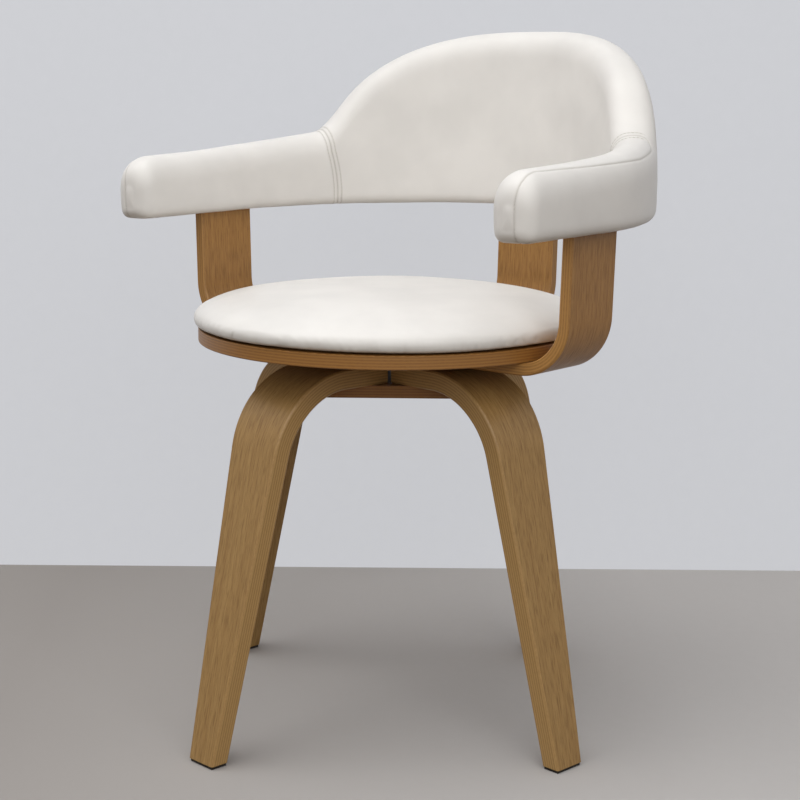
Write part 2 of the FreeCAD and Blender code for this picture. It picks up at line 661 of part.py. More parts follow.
LEGS = {}
FOOT_PADS = {}
for side, turn in LEG_TURNS:
    bolted = cut_away(f"leg_{side}_bolted", LEG_STRIPS[side], BOLT_HOLES)
    LEGS[side] = cut_away(f"leg_{side}", bolted, BOARD_HOLES)
    felt = new_body(f"foot_pad_{side}")
    sketch = new_sketch(felt, f"foot_pad_{side}_outline")
    closed_outline(sketch, (
        ("pad_near", "-pad_half"), ("pad_far", "-pad_half"),
        ("pad_far", "pad_half"), ("pad_near", "pad_half")))
    pad(felt, sketch, f"foot_pad_{side}_height", "foot_pad_height")
    turn_body(felt, f"sizes.base_turn + {turn}")
    FOOT_PADS[side] = felt

board = new_body("board_blank")
sketch = new_sketch(board, "board_outline", lift="board_underside")
closed_outline(sketch, (
    ("-board_half", "-board_half"), ("board_half", "-board_half"),
    ("board_half", "board_half"), ("-board_half", "board_half")))
pad(board, sketch, "board_height", "board_thickness")
ease(board, "PartDesign::Fillet", "board_corners", "board_corner", is_upright)
turn_body(board, "sizes.base_turn + 45")
board_bolted = cut_away("board_bolted", board, BOLT_HOLES)
board_recessed = cut_away("board_recessed", board_bolted, NUT_RECESSES)
CLAMP_BOARD = cut_away("clamp_board", board_recessed, BOARD_HOLES)


# Swivel: two pressed plates, balls in a cage, hollow rivet

def make_plate(name, half, lift, bore, ring_foot, ring_top, turn):
    """A square plate with a pressed race ring and a hole for the rivet."""
    body = new_body(f"{name}_blank")
    outline = new_sketch(body, f"{name}_outline", lift=lift)
    closed_outline(outline, ((f"-{half}", f"-{half}"), (half, f"-{half}"), (half, half),
                             (f"-{half}", half)))
    pad(body, outline, f"{name}_sheet", "plate_thickness")
    ease(body, "PartDesign::Fillet", f"{name}_corners", "plate_corner", is_upright)
    hole = new_sketch(body, f"{name}_hole_outline")
    round_outline(hole, "", "", bore)
    pocket_through(body, hole, f"{name}_hole")
    ring = new_sketch(body, f"{name}_ring_outline", "XZ_Plane")
    closed_outline(ring, (("race_inner", ring_foot), ("race_outer", ring_foot),
                          ("race_outer", ring_top), ("race_inner", ring_top)))
    spin(body, ring, f"{name}_ring")
    groove = new_sketch(body, f"{name}_groove_outline", "XZ_Plane")
    round_outline(groove, "race_radius", "ball_level", "groove_radius")
    spin(body, groove, f"{name}_groove", "PartDesign::Groove")
    turn_body(body, turn)
    return body


BASE_PLATE = cut_away("swivel_base_plate", make_plate(
    "base_plate", "base_plate_half", "leg_top_height", "lower_bore", "base_plate_top",
    "lower_ring_top", "sizes.base_turn + 45"), BOLT_HOLES)
TOP_PLATE = cut_away("swivel_top_plate", make_plate(
    "top_plate", "top_plate_half", "top_plate_underside", "upper_bore", "upper_ring_foot",
    "top_plate_underside", "0"), PLATE_HOLES)

ball_turns = [360 * index / size("ball_count") for index in range(int(size("ball_count")))]
ball_spots = spots(ball_turns, [(size("race_radius"), 0)], size("ball_level"))
BALLS = feature_of("bearing_balls", placed_copies(Part.makeSphere(size("ball_radius")), ball_spots))
BALL_SPACES = feature_of("ball_spaces", placed_copies(
    Part.makeSphere(size("groove_radius")), ball_spots))

cage = new_body("cage_ring")
sketch = new_sketch(cage, "cage_outline", lift="cage_underside")
round_outline(sketch, "", "", "cage_outer")
round_outline(sketch, "", "", "cage_inner")
pad(cage, sketch, "cage_height", "cage_thickness")
BALL_CAGE = cut_away("ball_cage", cage, BALL_SPACES)

PIVOT_RIVET = new_body("pivot_rivet")
sketch = new_sketch(PIVOT_RIVET, "rivet_outline", "XZ_Plane")
closed_outline(sketch, (
    ("pivot_bore", "rivet_foot"), ("flange_radius", "rivet_foot"),
    ("flange_radius", "lower_flange_top"), ("pivot_radius", "lower_flange_top"),
    ("pivot_radius", "seat_board_underside"), ("flange_radius", "seat_board_underside"),
    ("flange_radius", "rivet_top"), ("pivot_bore", "rivet_top")))
spin(PIVOT_RIVET, sketch, "rivet_turned")


# Seat: board, uprights, cushion on its own board

seat_blank = new_body("seat_blank")
sketch = new_sketch(seat_blank, "seat_outline", lift="seat_board_underside")
round_outline(sketch, "", "", "seat_radius")
pad(seat_blank, sketch, "seat_height", "seat_board_thickness")
ease(seat_blank, "PartDesign::Fillet", "seat_rim", "seat_board_edge",
     lambda edge: not is_upright(edge))
sketch = new_sketch(seat_blank, "recess_outline", lift="seat_board_underside")
round_outline(sketch, "", "", "recess_radius")
pocket_up(seat_blank, sketch, "recess", "recess_depth")
sketch = new_sketch(seat_blank, "relief_outline", lift="seat_board_underside")
closed_outline(sketch, (
    ("support_bend_start", "-relief_half"), ("relief_out", "-relief_half"),
    ("relief_out", "relief_half"), ("support_bend_start", "relief_half")))
closed_outline(sketch, (
    ("-support_bend_start", "-relief_half"), ("-relief_out", "-relief_half"),
    ("-relief_out", "relief_half"), ("-support_bend_start", "relief_half")))
closed_outline(sketch, (
    ("-relief_half", "support_bend_start"), ("-relief_half", "relief_out"),
    ("relief_half", "relief_out"), ("relief_half", "support_bend_start")))
pocket_up(seat_blank, sketch, "relief", "relief_depth")
seat_plated = cut_away("seat_plated", seat_blank, PLATE_HOLES)
seat_supported = cut_away("seat_supported", seat_plated, SUPPORT_HOLES)
SEAT_BOARD = cut_away("seat_board", seat_supported, CUSHION_HOLES)

SUPPORTS = {}
for side, turn in SUPPORT_TURNS:
    screwed = cut_away(f"support_{side}_screwed", SUPPORT_STRIPS[side], SUPPORT_HOLES)
    SUPPORTS[side] = cut_away(f"support_{side}", screwed, WRAP_HOLES)

cushion_board = new_body("cushion_board")
sketch = new_sketch(cushion_board, "cushion_board_outline", lift="seat_board_top")
round_outline(sketch, "", "", "cushion_base_radius")
pad(cushion_board, sketch, "cushion_board_height", "cushion_base_thickness")
CUSHION_BASE = cut_away("cushion_base", cushion_board, CUSHION_HOLES)

# The crown is one wide arc that flows into the rounded shoulder
shoulder = Vector(size("cushion_shoulder"), size("cushion_widest"), 0)
rise = size("cushion_top") - shoulder.y
bend = size("cushion_shoulder_radius")
crown = (shoulder.x ** 2 + rise ** 2 - bend ** 2) / (2 * (rise - bend))
crown_middle = Vector(0, size("cushion_top") - crown, 0)
meeting = math.atan2(shoulder.y - crown_middle.y, shoulder.x)
foot_in = size("cushion_radius") - size("cushion_foot_radius")
foot_drop = size("cushion_widest") - size("cushion_foot")
foot_bend = (foot_in ** 2 + foot_drop ** 2) / (2 * foot_in)
foot_middle = Vector(size("cushion_radius") - foot_bend, size("cushion_widest"), 0)
foot_angle = math.atan2(foot_drop, foot_bend - foot_in)
corners = [Vector(size(across) if across else 0, size(up), 0) for across, up in (
    ("", "cushion_base_top"), ("cushion_recess", "cushion_base_top"),
    ("cushion_recess", "cushion_foot"), ("cushion_foot_radius", "cushion_foot"))]
SEAT_CUSHION = new_body("seat_cushion")
sketch = new_sketch(SEAT_CUSHION, "cushion_outline", "XZ_Plane")
for item in (
    Part.LineSegment(corners[0], corners[1]),
    Part.LineSegment(corners[1], corners[2]),
    Part.LineSegment(corners[2], corners[3]),
    Part.ArcOfCircle(Part.Circle(foot_middle, AXIS_UP, foot_bend), -foot_angle, 0),
    Part.ArcOfCircle(Part.Circle(shoulder, AXIS_UP, bend), 0, meeting),
    Part.ArcOfCircle(Part.Circle(crown_middle, AXIS_UP, crown), meeting, math.radians(90)),
    Part.LineSegment(Vector(0, size("cushion_top"), 0), corners[0]),
):
    sketch.addGeometry(item, False)
for first, second in ((0, 1), (1, 2), (2, 3), (5, 6), (6, 0)):
    join_ends(sketch, first, second)
sketch.addConstraint(Sketcher.Constraint("Tangent", 3, 2, 4, 1))
sketch.addConstraint(Sketcher.Constraint("Tangent", 4, 2, 5, 1))
hold_point(sketch, 0, 1, "", "cushion_base_top")
hold_point(sketch, 1, 1, "cushion_recess", "cushion_base_top")
hold_point(sketch, 2, 1, "cushion_recess", "cushion_foot")
hold_point(sketch, 3, 1, "cushion_foot_radius", "cushion_foot")
hold_point(sketch, 3, 2, "cushion_radius", "cushion_widest")
hold_point(sketch, 4, 3, "cushion_shoulder", "cushion_widest")
hold_point(sketch, 5, 2, "", "cushion_top")
sketch.addConstraint(Sketcher.Constraint("PointOnObject", 5, 3, -2))
spin(SEAT_CUSHION, sketch, "cushion_turned")
DOCUMENT.recompute()


# Back and arms: a bent plywood shell inside three padded pieces, all tilted a little

def tilt_wrap(item):
    """Tilt a piece so that back and arms climb towards the back."""
    centre = Vector(0, 0, size("wrap_underside"))
    item.Placement = Placement(Vector(0, 0, 0), Rotation(Vector(1, 0, 0), size("wrap_climb")), centre)


def make_shell(name, kind):
    """The shell, or the slightly larger space that the padding leaves for it."""
    body = new_body(name)
    plan = new_sketch(body, f"{name}_plan", lift=f"{kind}_underside")
    inner = size(f"{kind}_inner")
    outer = size(f"{kind}_outer")
    front = -size(f"{kind}_front")
    centre = Vector(0, 0, 0)
    half_turn = math.radians(180)
    for item in (
        Part.ArcOfCircle(Part.Circle(centre, AXIS_UP, inner), 0, half_turn),
        Part.LineSegment(Vector(-inner, 0, 0), Vector(-inner, front, 0)),
        Part.LineSegment(Vector(-inner, front, 0), Vector(-outer, front, 0)),
        Part.LineSegment(Vector(-outer, front, 0), Vector(-outer, 0, 0)),
        Part.ArcOfCircle(Part.Circle(centre, AXIS_UP, outer), 0, half_turn),
        Part.LineSegment(Vector(outer, 0, 0), Vector(outer, front, 0)),
        Part.LineSegment(Vector(outer, front, 0), Vector(inner, front, 0)),
        Part.LineSegment(Vector(inner, front, 0), Vector(inner, 0, 0)),
    ):
        plan.addGeometry(item, False)
    for first, second in ((1, 2), (2, 3), (5, 6), (6, 7)):
        join_ends(plan, first, second)
    for constraint in (
        Sketcher.Constraint("Coincident", 0, 3, -1, 1),
        Sketcher.Constraint("Coincident", 4, 3, -1, 1),
        Sketcher.Constraint("Tangent", 0, 2, 1, 1),
        Sketcher.Constraint("Tangent", 3, 2, 4, 2),
        Sketcher.Constraint("Tangent", 4, 1, 5, 1),
        Sketcher.Constraint("Tangent", 7, 2, 0, 1),
        Sketcher.Constraint("Vertical", 1),
        Sketcher.Constraint("Vertical", 3),
        Sketcher.Constraint("Vertical", 5),
        Sketcher.Constraint("Vertical", 7),
        Sketcher.Constraint("Horizontal", 2),
        Sketcher.Constraint("Horizontal", 6),
    ):
        plan.addConstraint(constraint)
    bind(plan, Sketcher.Constraint("Radius", 0, inner), f"{kind}_inner")
    bind(plan, Sketcher.Constraint("Radius", 4, outer), f"{kind}_outer")
    for edge in (1, 5):
        bind(plan, Sketcher.Constraint("DistanceY", -1, 1, edge, 2, front), f"-{kind}_front")
    pad(body, plan, f"{name}_height", f"{kind}_height")

    above = new_sketch(body, f"{name}_top_outline", "XZ_Plane")
    for sign, mark in ((1, ""), (-1, "-")):
        start = above.GeometryCount
        side = sign * size(f"{kind}_half_width")
        out = sign * size("shell_outside")
        middle = Vector(sign * size("shell_corner_middle"), size("shell_corner_level"), 0)
        arm = size(f"{kind}_arm_top")
        top = size(f"{kind}_back_top")
        clear = size("shell_above")
        quarter = (0, half_turn / 2) if sign > 0 else (half_turn / 2, half_turn)
        low, high = (1, 2) if sign > 0 else (2, 1)
        for item in (
            Part.LineSegment(Vector(out, clear, 0), Vector(out, arm, 0)),
            Part.LineSegment(Vector(out, arm, 0), Vector(side, arm, 0)),
            Part.LineSegment(Vector(side, arm, 0), Vector(side, middle.y, 0)),
            Part.ArcOfCircle(Part.Circle(middle, AXIS_UP, abs(side - middle.x)), *quarter),
            Part.LineSegment(Vector(middle.x, top, 0), Vector(middle.x, clear, 0)),
            Part.LineSegment(Vector(middle.x, clear, 0), Vector(out, clear, 0)),
        ):
            above.addGeometry(item, False)
        for first, second in ((0, 1), (1, 2), (4, 5), (5, 0)):
            join_ends(above, start + first, start + second)
        for constraint in (
            Sketcher.Constraint("Tangent", start + 2, 2, start + 3, low),
            Sketcher.Constraint("Coincident", start + 3, high, start + 4, 1),
            Sketcher.Constraint("Vertical", start + 2),
            Sketcher.Constraint("Vertical", start + 4),
        ):
            above.addConstraint(constraint)
        hold_point(above, start, 1, f"{mark}shell_outside", "shell_above")
        hold_point(above, start + 1, 1, f"{mark}shell_outside", f"{kind}_arm_top")
        hold_point(above, start + 2, 1, f"{mark}{kind}_half_width", f"{kind}_arm_top")
        hold_point(above, start + 3, 3, f"{mark}shell_corner_middle", "shell_corner_level")
        hold_point(above, start + 4, 2, f"{mark}shell_corner_middle", "shell_above")
    pocket_through(body, above, f"{name}_top_cut")
    tilt_wrap(body)
    return body


shell_strip = make_shell("shell_strip", "shell")
shell_space = make_shell("shell_space", "space")
SUPPORT_TOOLS = DOCUMENT.addObject("Part::Compound", "support_tools")
SUPPORT_TOOLS.Links = list(SUPPORT_STRIPS.values())
shell_seated = cut_away("shell_seated", shell_strip, SUPPORT_TOOLS)
WRAP_SHELL = cut_away("wrap_shell", shell_seated, WRAP_HOLES)

tongue_spaces = []
for side, turn in SUPPORT_TURNS:
    space = new_body(f"tongue_space_{side}")
    sketch = new_sketch(space, f"tongue_outline_{side}", "XZ_Plane")
    closed_outline(sketch, (
        ("tongue_in_foot", "tongue_foot"), ("tongue_out_foot", "tongue_foot"),
        ("tongue_out_top", "tongue_top"), ("tongue_in_top", "tongue_top")))
    pad(space, sketch, f"tongue_width_{side}", "tongue_width", "Symmetric")
    turn_body(space, str(turn))
    tongue_spaces.append(space)
TONGUE_SPACES = DOCUMENT.addObject("Part::Compound", "tongue_spaces")
TONGUE_SPACES.Links = tongue_spaces


def wall_end():
    """Place of the arm tips along the wall, from the middle of the back."""
    return size("wrap_middle_radius") * math.radians(90) + size("arm_length")


def wall_section(along, half, foot, top, low_round, high_round):
    """One cross-section of the padded wall, square to its path, as a wire."""
    radius = size("wrap_middle_radius")
    quarter = radius * math.radians(90)
    side = math.copysign(1, along)
    if abs(along) <= quarter:
        outward = Vector(math.sin(along / radius), math.cos(along / radius), 0)
        middle = outward * radius
    else:
        outward = Vector(side, 0, 0)
        middle = Vector(side * radius, quarter - abs(along), 0)

    def spot(across, up):
        return middle + outward * across + Vector(0, 0, up)

    def bend(across, up, radius_here, start):
        points = []
        for step in (0, 45, 90):
            angle = math.radians(start + step)
            points.append(spot(across + radius_here * math.cos(angle),
                               up + radius_here * math.sin(angle)))
        return Part.Arc(*points).toShape()

    low_in = half - low_round
    high_in = half - high_round
    low_up = foot + low_round
    high_up = top - high_round
    return Part.Wire([
        Part.makeLine(spot(-low_in, foot), spot(low_in, foot)),
        bend(low_in, low_up, low_round, 270),
        Part.makeLine(spot(half, low_up), spot(half, high_up)),
        bend(high_in, high_up, high_round, 0),
        Part.makeLine(spot(high_in, top), spot(-high_in, top)),
        bend(-high_in, high_up, high_round, 90),
        Part.makeLine(spot(-half, high_up), spot(-half, low_up)),
        bend(-low_in, low_up, low_round, 180),
    ])


def wall_height(along):
    """Underside to the top: a full arch over the back that flows into arms that sink to their tips."""
    reach = abs(along)
    foot = size("back_foot")
    flow = size("back_flow")
    width = size("back_half_width")
    rise = size("back_rise")
    power = size("back_fullness")
    if reach <= foot:
        return size("back_height") - rise * (1 - math.sqrt(1 - (reach / width) ** power))
    arm = wall_end() - foot - flow
    if reach >= foot + flow:
        return size("arm_height") + size("arm_swell") * ((wall_end() - reach) / arm) ** 2
    level = math.sqrt(1 - (foot / width) ** power)
    start = size("back_height") - rise * (1 - level)
    start_slope = -rise * power * (foot / width) ** power / (2 * foot * level)
    stop = size("arm_height") + size("arm_swell")
    stop_slope = -2 * size("arm_swell") / arm
    part = (reach - foot) / flow
    rest = 1 - part
    return (start * (1 + 2 * part) * rest ** 2 + start_slope * flow * part * rest ** 2
            + stop * (1 + 2 * rest) * part ** 2 - stop_slope * flow * rest * part ** 2)


def rounded_in(distance, radius):
    """How far a rounded corner lies behind its square one, at a distance from the end."""
    if distance >= radius:
        return 0.0
    return radius - math.sqrt(radius ** 2 - (radius - distance) ** 2)


def padded_wall(name, places):
    """A padded piece lofted through the cross-sections at these places along the wall."""
    sections = []
    for along in places:
        behind = wall_end() - abs(along)
        half = size("wrap_thickness") / 2 - rounded_in(behind, size("arm_tip_side_round"))
        top = size("wrap_underside") + wall_height(along)
        top -= rounded_in(behind, size("arm_tip_round"))
        foot = size("wrap_underside") + rounded_in(behind, size("wrap_low_round"))
        shrink = half / (size("wrap_thickness") / 2)
        sections.append(wall_section(along, half, foot, top, size("wrap_low_round") * shrink,
                                     size("wrap_top_round") * shrink))
    feature = feature_of(f"{name}_solid", Part.makeLoft(sections, True, False))
    tilt_wrap(feature)
    hollow = cut_away(f"{name}_hollow", feature, shell_space)
    return cut_away(name, hollow, TONGUE_SPACES)


seam = size("back_seam")
BACK_SHARES = (0, 0.17, 0.34, 0.5, 0.63, 0.745, 0.83, 0.9, 0.955, 1)
ARM_SHARES = (0, 0.04, 0.08, 0.15, 0.28, 0.4, 0.5, 0.6, 0.75, 0.88)
TIP_SHARES = (1, 0.6, 0.36, 0.2, 0.09, 0.025, 0)
half_back = [seam * share for share in BACK_SHARES]
back_places = [-place for place in reversed(half_back[1:])] + half_back
arm_places = [seam + (wall_end() - seam) * share for share in ARM_SHARES]
arm_places += [wall_end() - size("arm_tip_round") * share for share in TIP_SHARES]
BACK_PAD = padded_wall("back_pad", back_places)
ARM_PADS = {
    "left": padded_wall("arm_pad_left", arm_places),
    "right": padded_wall("arm_pad_right", [-place for place in arm_places]),
}
DOCUMENT.recompute()


# Check every object, then write each sub-part under its node's name

NODES = {
    "clamp_board": CLAMP_BOARD,
    "swivel_base_plate": BASE_PLATE,
    "leg_bolts": LEG_BOLTS,
    "leg_washers": LEG_WASHERS,
    "leg_nuts": LEG_NUTS,
    "board_screws": BOARD_SCREWS,
    "ball_cage": BALL_CAGE,
    "bearing_balls": BALLS,
    "swivel_top_plate": TOP_PLATE,
    "pivot_rivet": PIVOT_RIVET,
    "plate_screws": PLATE_SCREWS,
    "seat_board": SEAT_BOARD,
    "support_screws": SUPPORT_SCREWS,
    "cushion_base": CUSHION_BASE,
    "cushion_screws": CUSHION_SCREWS,
    "seat_cushion": SEAT_CUSHION,
    "wrap_shell": WRAP_SHELL,
    "back_pad": BACK_PAD,
    "wrap_screws": WRAP_SCREWS,
}
for side, turn in LEG_TURNS:
    NODES[f"leg_{side}"] = LEGS[side]
    NODES[f"foot_pad_{side}"] = FOOT_PADS[side]
for side, turn in SUPPORT_TURNS:
    NODES[f"support_{side}"] = SUPPORTS[side]
for side, arm_pad in ARM_PADS.items():
    NODES[f"arm_pad_{side}"] = arm_pad

faults = []
for item in DOCUMENT.Objects:
    if "Invalid" in item.State or "Error" in item.State:
        faults.append(f"{item.Name}: {item.State}")
    if item.TypeId == "Sketcher::SketchObject" and not item.FullyConstrained:
        faults.append(f"{item.Name}: not fully constrained")
for name, item in NODES.items():
    shape = item.Shape
    if shape.isNull() or not shape.isValid() or not shape.Solids:
        faults.append(f"{name}: no valid solid")
if faults:
    raise RuntimeError("; ".join(faults))

os.makedirs("parts", exist_ok=True)
for name, item in NODES.items():
    item.Label = name
    item.Shape.exportStep(f"parts/{name}.step")
    print(name, len(item.Shape.Solids), round(item.Shape.Volume))
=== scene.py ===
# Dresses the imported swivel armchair: upholstery, stitching, veneer, steel, and a pale stage.
# Metres, +Z up, the seat faces -Y, the swivel axis stands at the origin.

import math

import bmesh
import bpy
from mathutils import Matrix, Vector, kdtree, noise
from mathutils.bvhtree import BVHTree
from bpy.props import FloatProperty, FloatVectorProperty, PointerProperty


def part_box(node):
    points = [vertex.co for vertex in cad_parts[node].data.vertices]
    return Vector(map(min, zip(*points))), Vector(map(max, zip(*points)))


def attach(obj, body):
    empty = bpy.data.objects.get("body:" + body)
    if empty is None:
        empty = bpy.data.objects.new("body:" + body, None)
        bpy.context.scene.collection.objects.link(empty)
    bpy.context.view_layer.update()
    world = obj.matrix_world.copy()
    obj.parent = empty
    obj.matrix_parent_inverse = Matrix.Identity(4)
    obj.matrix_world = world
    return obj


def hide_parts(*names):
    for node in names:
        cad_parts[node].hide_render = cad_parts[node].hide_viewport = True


bl_info = {
    "name": "Swivel armchair",
    "version": (1, 0, 0),
    "blender": (4, 5, 0),
    "location": "3D View > Sidebar > Chair",
    "description": "Upholstery, veneer, steel and stage for a swivel armchair",
    "category": "Object",
}

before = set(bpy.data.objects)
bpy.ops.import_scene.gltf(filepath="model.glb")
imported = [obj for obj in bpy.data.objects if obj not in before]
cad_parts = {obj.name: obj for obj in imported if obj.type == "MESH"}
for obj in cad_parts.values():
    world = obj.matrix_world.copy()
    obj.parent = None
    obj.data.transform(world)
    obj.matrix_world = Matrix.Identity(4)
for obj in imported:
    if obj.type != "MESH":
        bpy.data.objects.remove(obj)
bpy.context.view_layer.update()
CUSHION_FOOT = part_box("seat_cushion")[0].z
LEG_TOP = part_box("leg_left")[1].z
UP = Vector((0, 0, 1))
MM = 0.001


def length(value, text):
    """A size, written in millimetres."""
    return FloatProperty(name=text, default=value * MM, unit="LENGTH", precision=5)


def number(value, text):
    """A number in a unit of its own."""
    return FloatProperty(name=text, default=value)


def share(value, text):
    """A share or factor."""
    return FloatProperty(name=text, default=value, min=0.0, max=4.0)


def colour(value, text):
    """A linear colour."""
    return FloatVectorProperty(name=text, default=value, subtype="COLOR", min=0.0, max=1.0)


def degrees(value, text):
    """An angle, written in degrees."""
    return FloatProperty(name=text, default=math.radians(value), subtype="ANGLE")


class ChairWoodSettings(bpy.types.PropertyGroup):
    """Veneered plywood."""
    face: colour((0.37, 0.225, 0.098), "Lacquered veneer, mean tone")
    dark: colour((0.21, 0.115, 0.042), "Pores and dark streaks of the veneer")
    light: colour((0.48, 0.315, 0.15), "Pale streaks of the veneer")
    edge: colour((0.52, 0.34, 0.17), "Lacquered plies seen on edge")
    edge_dark: colour((0.31, 0.18, 0.078), "Plies that show their end grain")
    legs: colour((0.97, 0.91, 0.68), "Stain of the legs, times the tones above")
    # The stains of uprights, seat board and clamp board are partly real colour and partly painted
    # shade: darker and warmer than the legs, most under the seat
    uprights: colour((0.90, 0.71, 0.40), "Stain of the uprights")
    rim: colour((0.69, 0.49, 0.23), "Stain of the seat board")
    clamp: colour((0.64, 0.42, 0.14), "Stain of the clamp board")
    inside: colour((1.0, 1.0, 1.0), "Bare plywood inside")
    pores: share(0.72, "How much the pores darken the veneer")
    streaks: share(0.6, "How much the pale streaks show")
    ply: length(1.5, "Thickness of one ply")
    base_turn: degrees(-6, "How far the base stands turned against the seat")
    leg_splay: degrees(13, "Lean of the legs")
    leg_bend: length(100, "Outer radius of the legs' bend")
    leg_middle: length(99.85, "Axis to the middle of the legs' bend")
    upright_lean: degrees(1.6, "Lean of the uprights")
    upright_bend: length(56, "Outer radius of the uprights' bend")
    roughness: share(0.42, "Roughness of the satin lacquer")


class ChairCoverSettings(bpy.types.PropertyGroup):
    """Upholstery of seat, back and arms."""
    cover: colour((0.80, 0.775, 0.738), "Off-white imitation leather")
    # Painted shade: the colour that the cover darkens towards in seams, folds and gathers
    crease_shade: colour((0.30, 0.26, 0.21), "Dust and shade in seams and folds")
    thread: colour((0.70, 0.665, 0.60), "Sewing thread")
    roughness: share(0.46, "Roughness of the cover")
    wall_radius: length(258.5, "Axis to the middle of back and arms")
    wall_thickness: length(47.5, "Padded thickness of back and arms")
    underside: length(551.4, "Lower edge of the arms at the axis")
    climb: degrees(0.70, "Rise of back and arms towards the back")
    sag: degrees(-0.82, "Back and arms hang lower on the sitter's right")
    twist: degrees(0.45, "Back and arms turned a little on the uprights")
    shift: length(2.2, "Back and arms towards the sitter's left")
    arm_height: length(68.5, "Height of the arm tips")
    arm_swell: length(18, "Rise of the arms' top towards the back")
    arm_length: length(145.5, "Axis to the arm tips")
    back_height: length(202, "Underside to the top of the back")
    back_rise: length(174, "Upright half axis of the back's arch")
    back_half: length(268.5, "Half of the arch, along the wall")
    back_fullness: share(2.63, "Arch: 2 for an ellipse, more for a fuller one")
    back_foot: length(234.5, "Where the arch flows into the arm")
    back_flow: length(41, "Length of that flow")
    back_seam: length(251, "Seam between back and arm at the underside")
    seam_sweep: length(15.5, "Lean of that seam towards the arm, up to the top")
    sweep_behind: length(70, "Cover drawn along behind the seam")
    sweep_ahead: length(90, "Cover drawn along ahead of the seam")
    seam_turn: share(0.72, "Where the seam turns along the arm, 1 is the top")
    seam_corner: length(26, "Length of that rounded corner")
    long_seam_back: share(0.43, "Long seam's height at the back, 1 is the top")
    long_seam_front: share(0.76, "Long seam's height at the tip")
    long_seam_rise: length(342, "Where the long seam starts to climb")
    top_round: length(32, "Height of the rounded upper edge")
    low_round: length(14, "Height of the rounded lower edge")
    crown: length(1.4, "Swell of the inner and outer faces")
    tip_length: length(34, "Length of the rounded tip seen from the side")
    tip_drop: length(31, "Height of the tip's upper corner")
    tip_lift: length(12, "Height of the tip's lower corner")
    tip_side: length(17, "Inner and outer corners of the arm tips")
    long_across: length(9.9, "Long seam from the arm's middle")
    tip_across: length(6.5, "The same seam on the arm's front")
    seam_depth: length(1.1, "Depth of a sewn seam")
    seam_width: length(3.0, "Rounded edge to each side of a sewn seam")
    stitch: length(3.2, "One stitch")
    stitch_gap: length(1.0, "Between two stitches")
    stitch_offset: length(4.6, "Topstitching beside the seam")
    thread_radius: length(0.28, "Radius of the sewing thread")
    gather: length(1.5, "Depth of the gathers below the arm tips")
    seat_radius: length(215.2, "Widest radius of the cushion")
    seat_widest: length(10, "Height of that place above the cushion's foot")
    seat_rise: length(29.5, "Widest place up to the middle of the cushion")
    seat_fullness: share(3.5, "Cushion: more for a flatter top")
    seat_shoulder: share(1.7, "Cushion: more for a fuller shoulder")


class ChairStageSettings(bpy.types.PropertyGroup):
    """Camera, lamps, floor and wall."""
    distance: length(1919.5, "Axis to the camera, over the floor")
    height: length(717.3, "Camera above the floor")
    azimuth: degrees(39.79, "Camera round the chair")
    pitch: degrees(10.766, "Camera tilted down")
    heading: degrees(-0.333, "Camera turned off the axis")
    roll: degrees(0.437, "Camera turned in its picture")
    lens: number(79.36, "Focal length in millimetres")
    floor: colour((0.55, 0.53, 0.515), "Pale floor on the right")
    # Painted shade: the floor is painted darker on the left
    shaded_floor_left: colour((0.34, 0.315, 0.295), "Pale floor on the left")
    floor_glow: colour((0.13, 0.085, 0.045), "Tone of the light the floor gives back")
    horizon: share(0.62, "World at the horizon, as a share of its strength overhead")
    wall: colour((0.80, 0.81, 0.85), "Pale wall")
    backdrop: colour((0.625, 0.635, 0.665), "The wall as it is seen")
    wall_gap: length(550, "Axis to the wall behind")
    sky: share(0.68, "Even light from all round")
    key: number(23.5, "Watts of the large lamp overhead")
    fill: number(12.5, "Watts of the front lamp")


# Small helpers

def within(value):
    """A value kept between 0 and 1."""
    return max(0.0, min(1.0, value))


def eased(part):
    """A share from 0 to 1 with a soft start and stop."""
    return part * part * (3 - 2 * part)


def scaled(tone, amount):
    """A colour made paler or darker."""
    return [min(1.0, channel * amount) for channel in tone]


def new_object(name, mesh, body, replaced=()):
    """A finished, smoothly shaded piece that rides on a body."""
    piece = bpy.data.objects.new(name, mesh)
    bpy.context.scene.collection.objects.link(piece)
    mesh.polygons.foreach_set("use_smooth", [True] * len(mesh.polygons))
    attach(piece, body)
    if replaced:
        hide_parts(*replaced)
    return piece


def grid_mesh(name, rings):
    """A tube of quads through rings of points, with its ends closed."""
    count = len(rings[0])
    last = (len(rings) - 1) * count
    faces = []
    for start in range(0, last, count):
        for step in range(count):
            after = (step + 1) % count
            faces.append((start + step, start + after,
                          start + count + after, start + count + step))
    faces.append(tuple(reversed(range(count))))
    faces.append(tuple(range(last, last + count)))
    mesh = bpy.data.meshes.new(name)
    mesh.from_pydata([point for ring in rings for point in ring], [], faces)
    return mesh


# Node helpers

def add_node(tree, kind, values=None, **settings):
    """A node with its settings and its input values or links."""
    item = tree.nodes.new(f"ShaderNode{kind}")
    for key, value in settings.items():
        setattr(item, key, value)
    for key, value in (values or {}).items():
        if isinstance(value, bpy.types.NodeSocket):
            tree.links.new(value, item.inputs[key])
        else:
            item.inputs[key].default_value = value
    return item


def maths(tree, operation, first, second=0.0, clamp=False):
    """The result of one arithmetic step."""
    return add_node(tree, "Math", {0: first, 1: second}, operation=operation,
                    use_clamp=clamp).outputs[0]


def times(tree, first, second):
    """A product."""
    return maths(tree, "MULTIPLY", first, second)


def combine(tree, across, along, up):
    """A vector from three values."""
    return add_node(tree, "CombineXYZ", {0: across, 1: along, 2: up}).outputs[0]


def split(tree, vector):
    """The three values of a vector."""
    return add_node(tree, "SeparateXYZ", {0: vector}).outputs


def turned(tree, vector, turn):
    """A vector turned back round the vertical axis."""
    return add_node(tree, "VectorRotate", {"Vector": vector, "Angle": -turn},
                    rotation_type="Z_AXIS").outputs[0]


def object_place(tree):
    """Places on the piece, in metres."""
    return add_node(tree, "TexCoord").outputs["Object"]


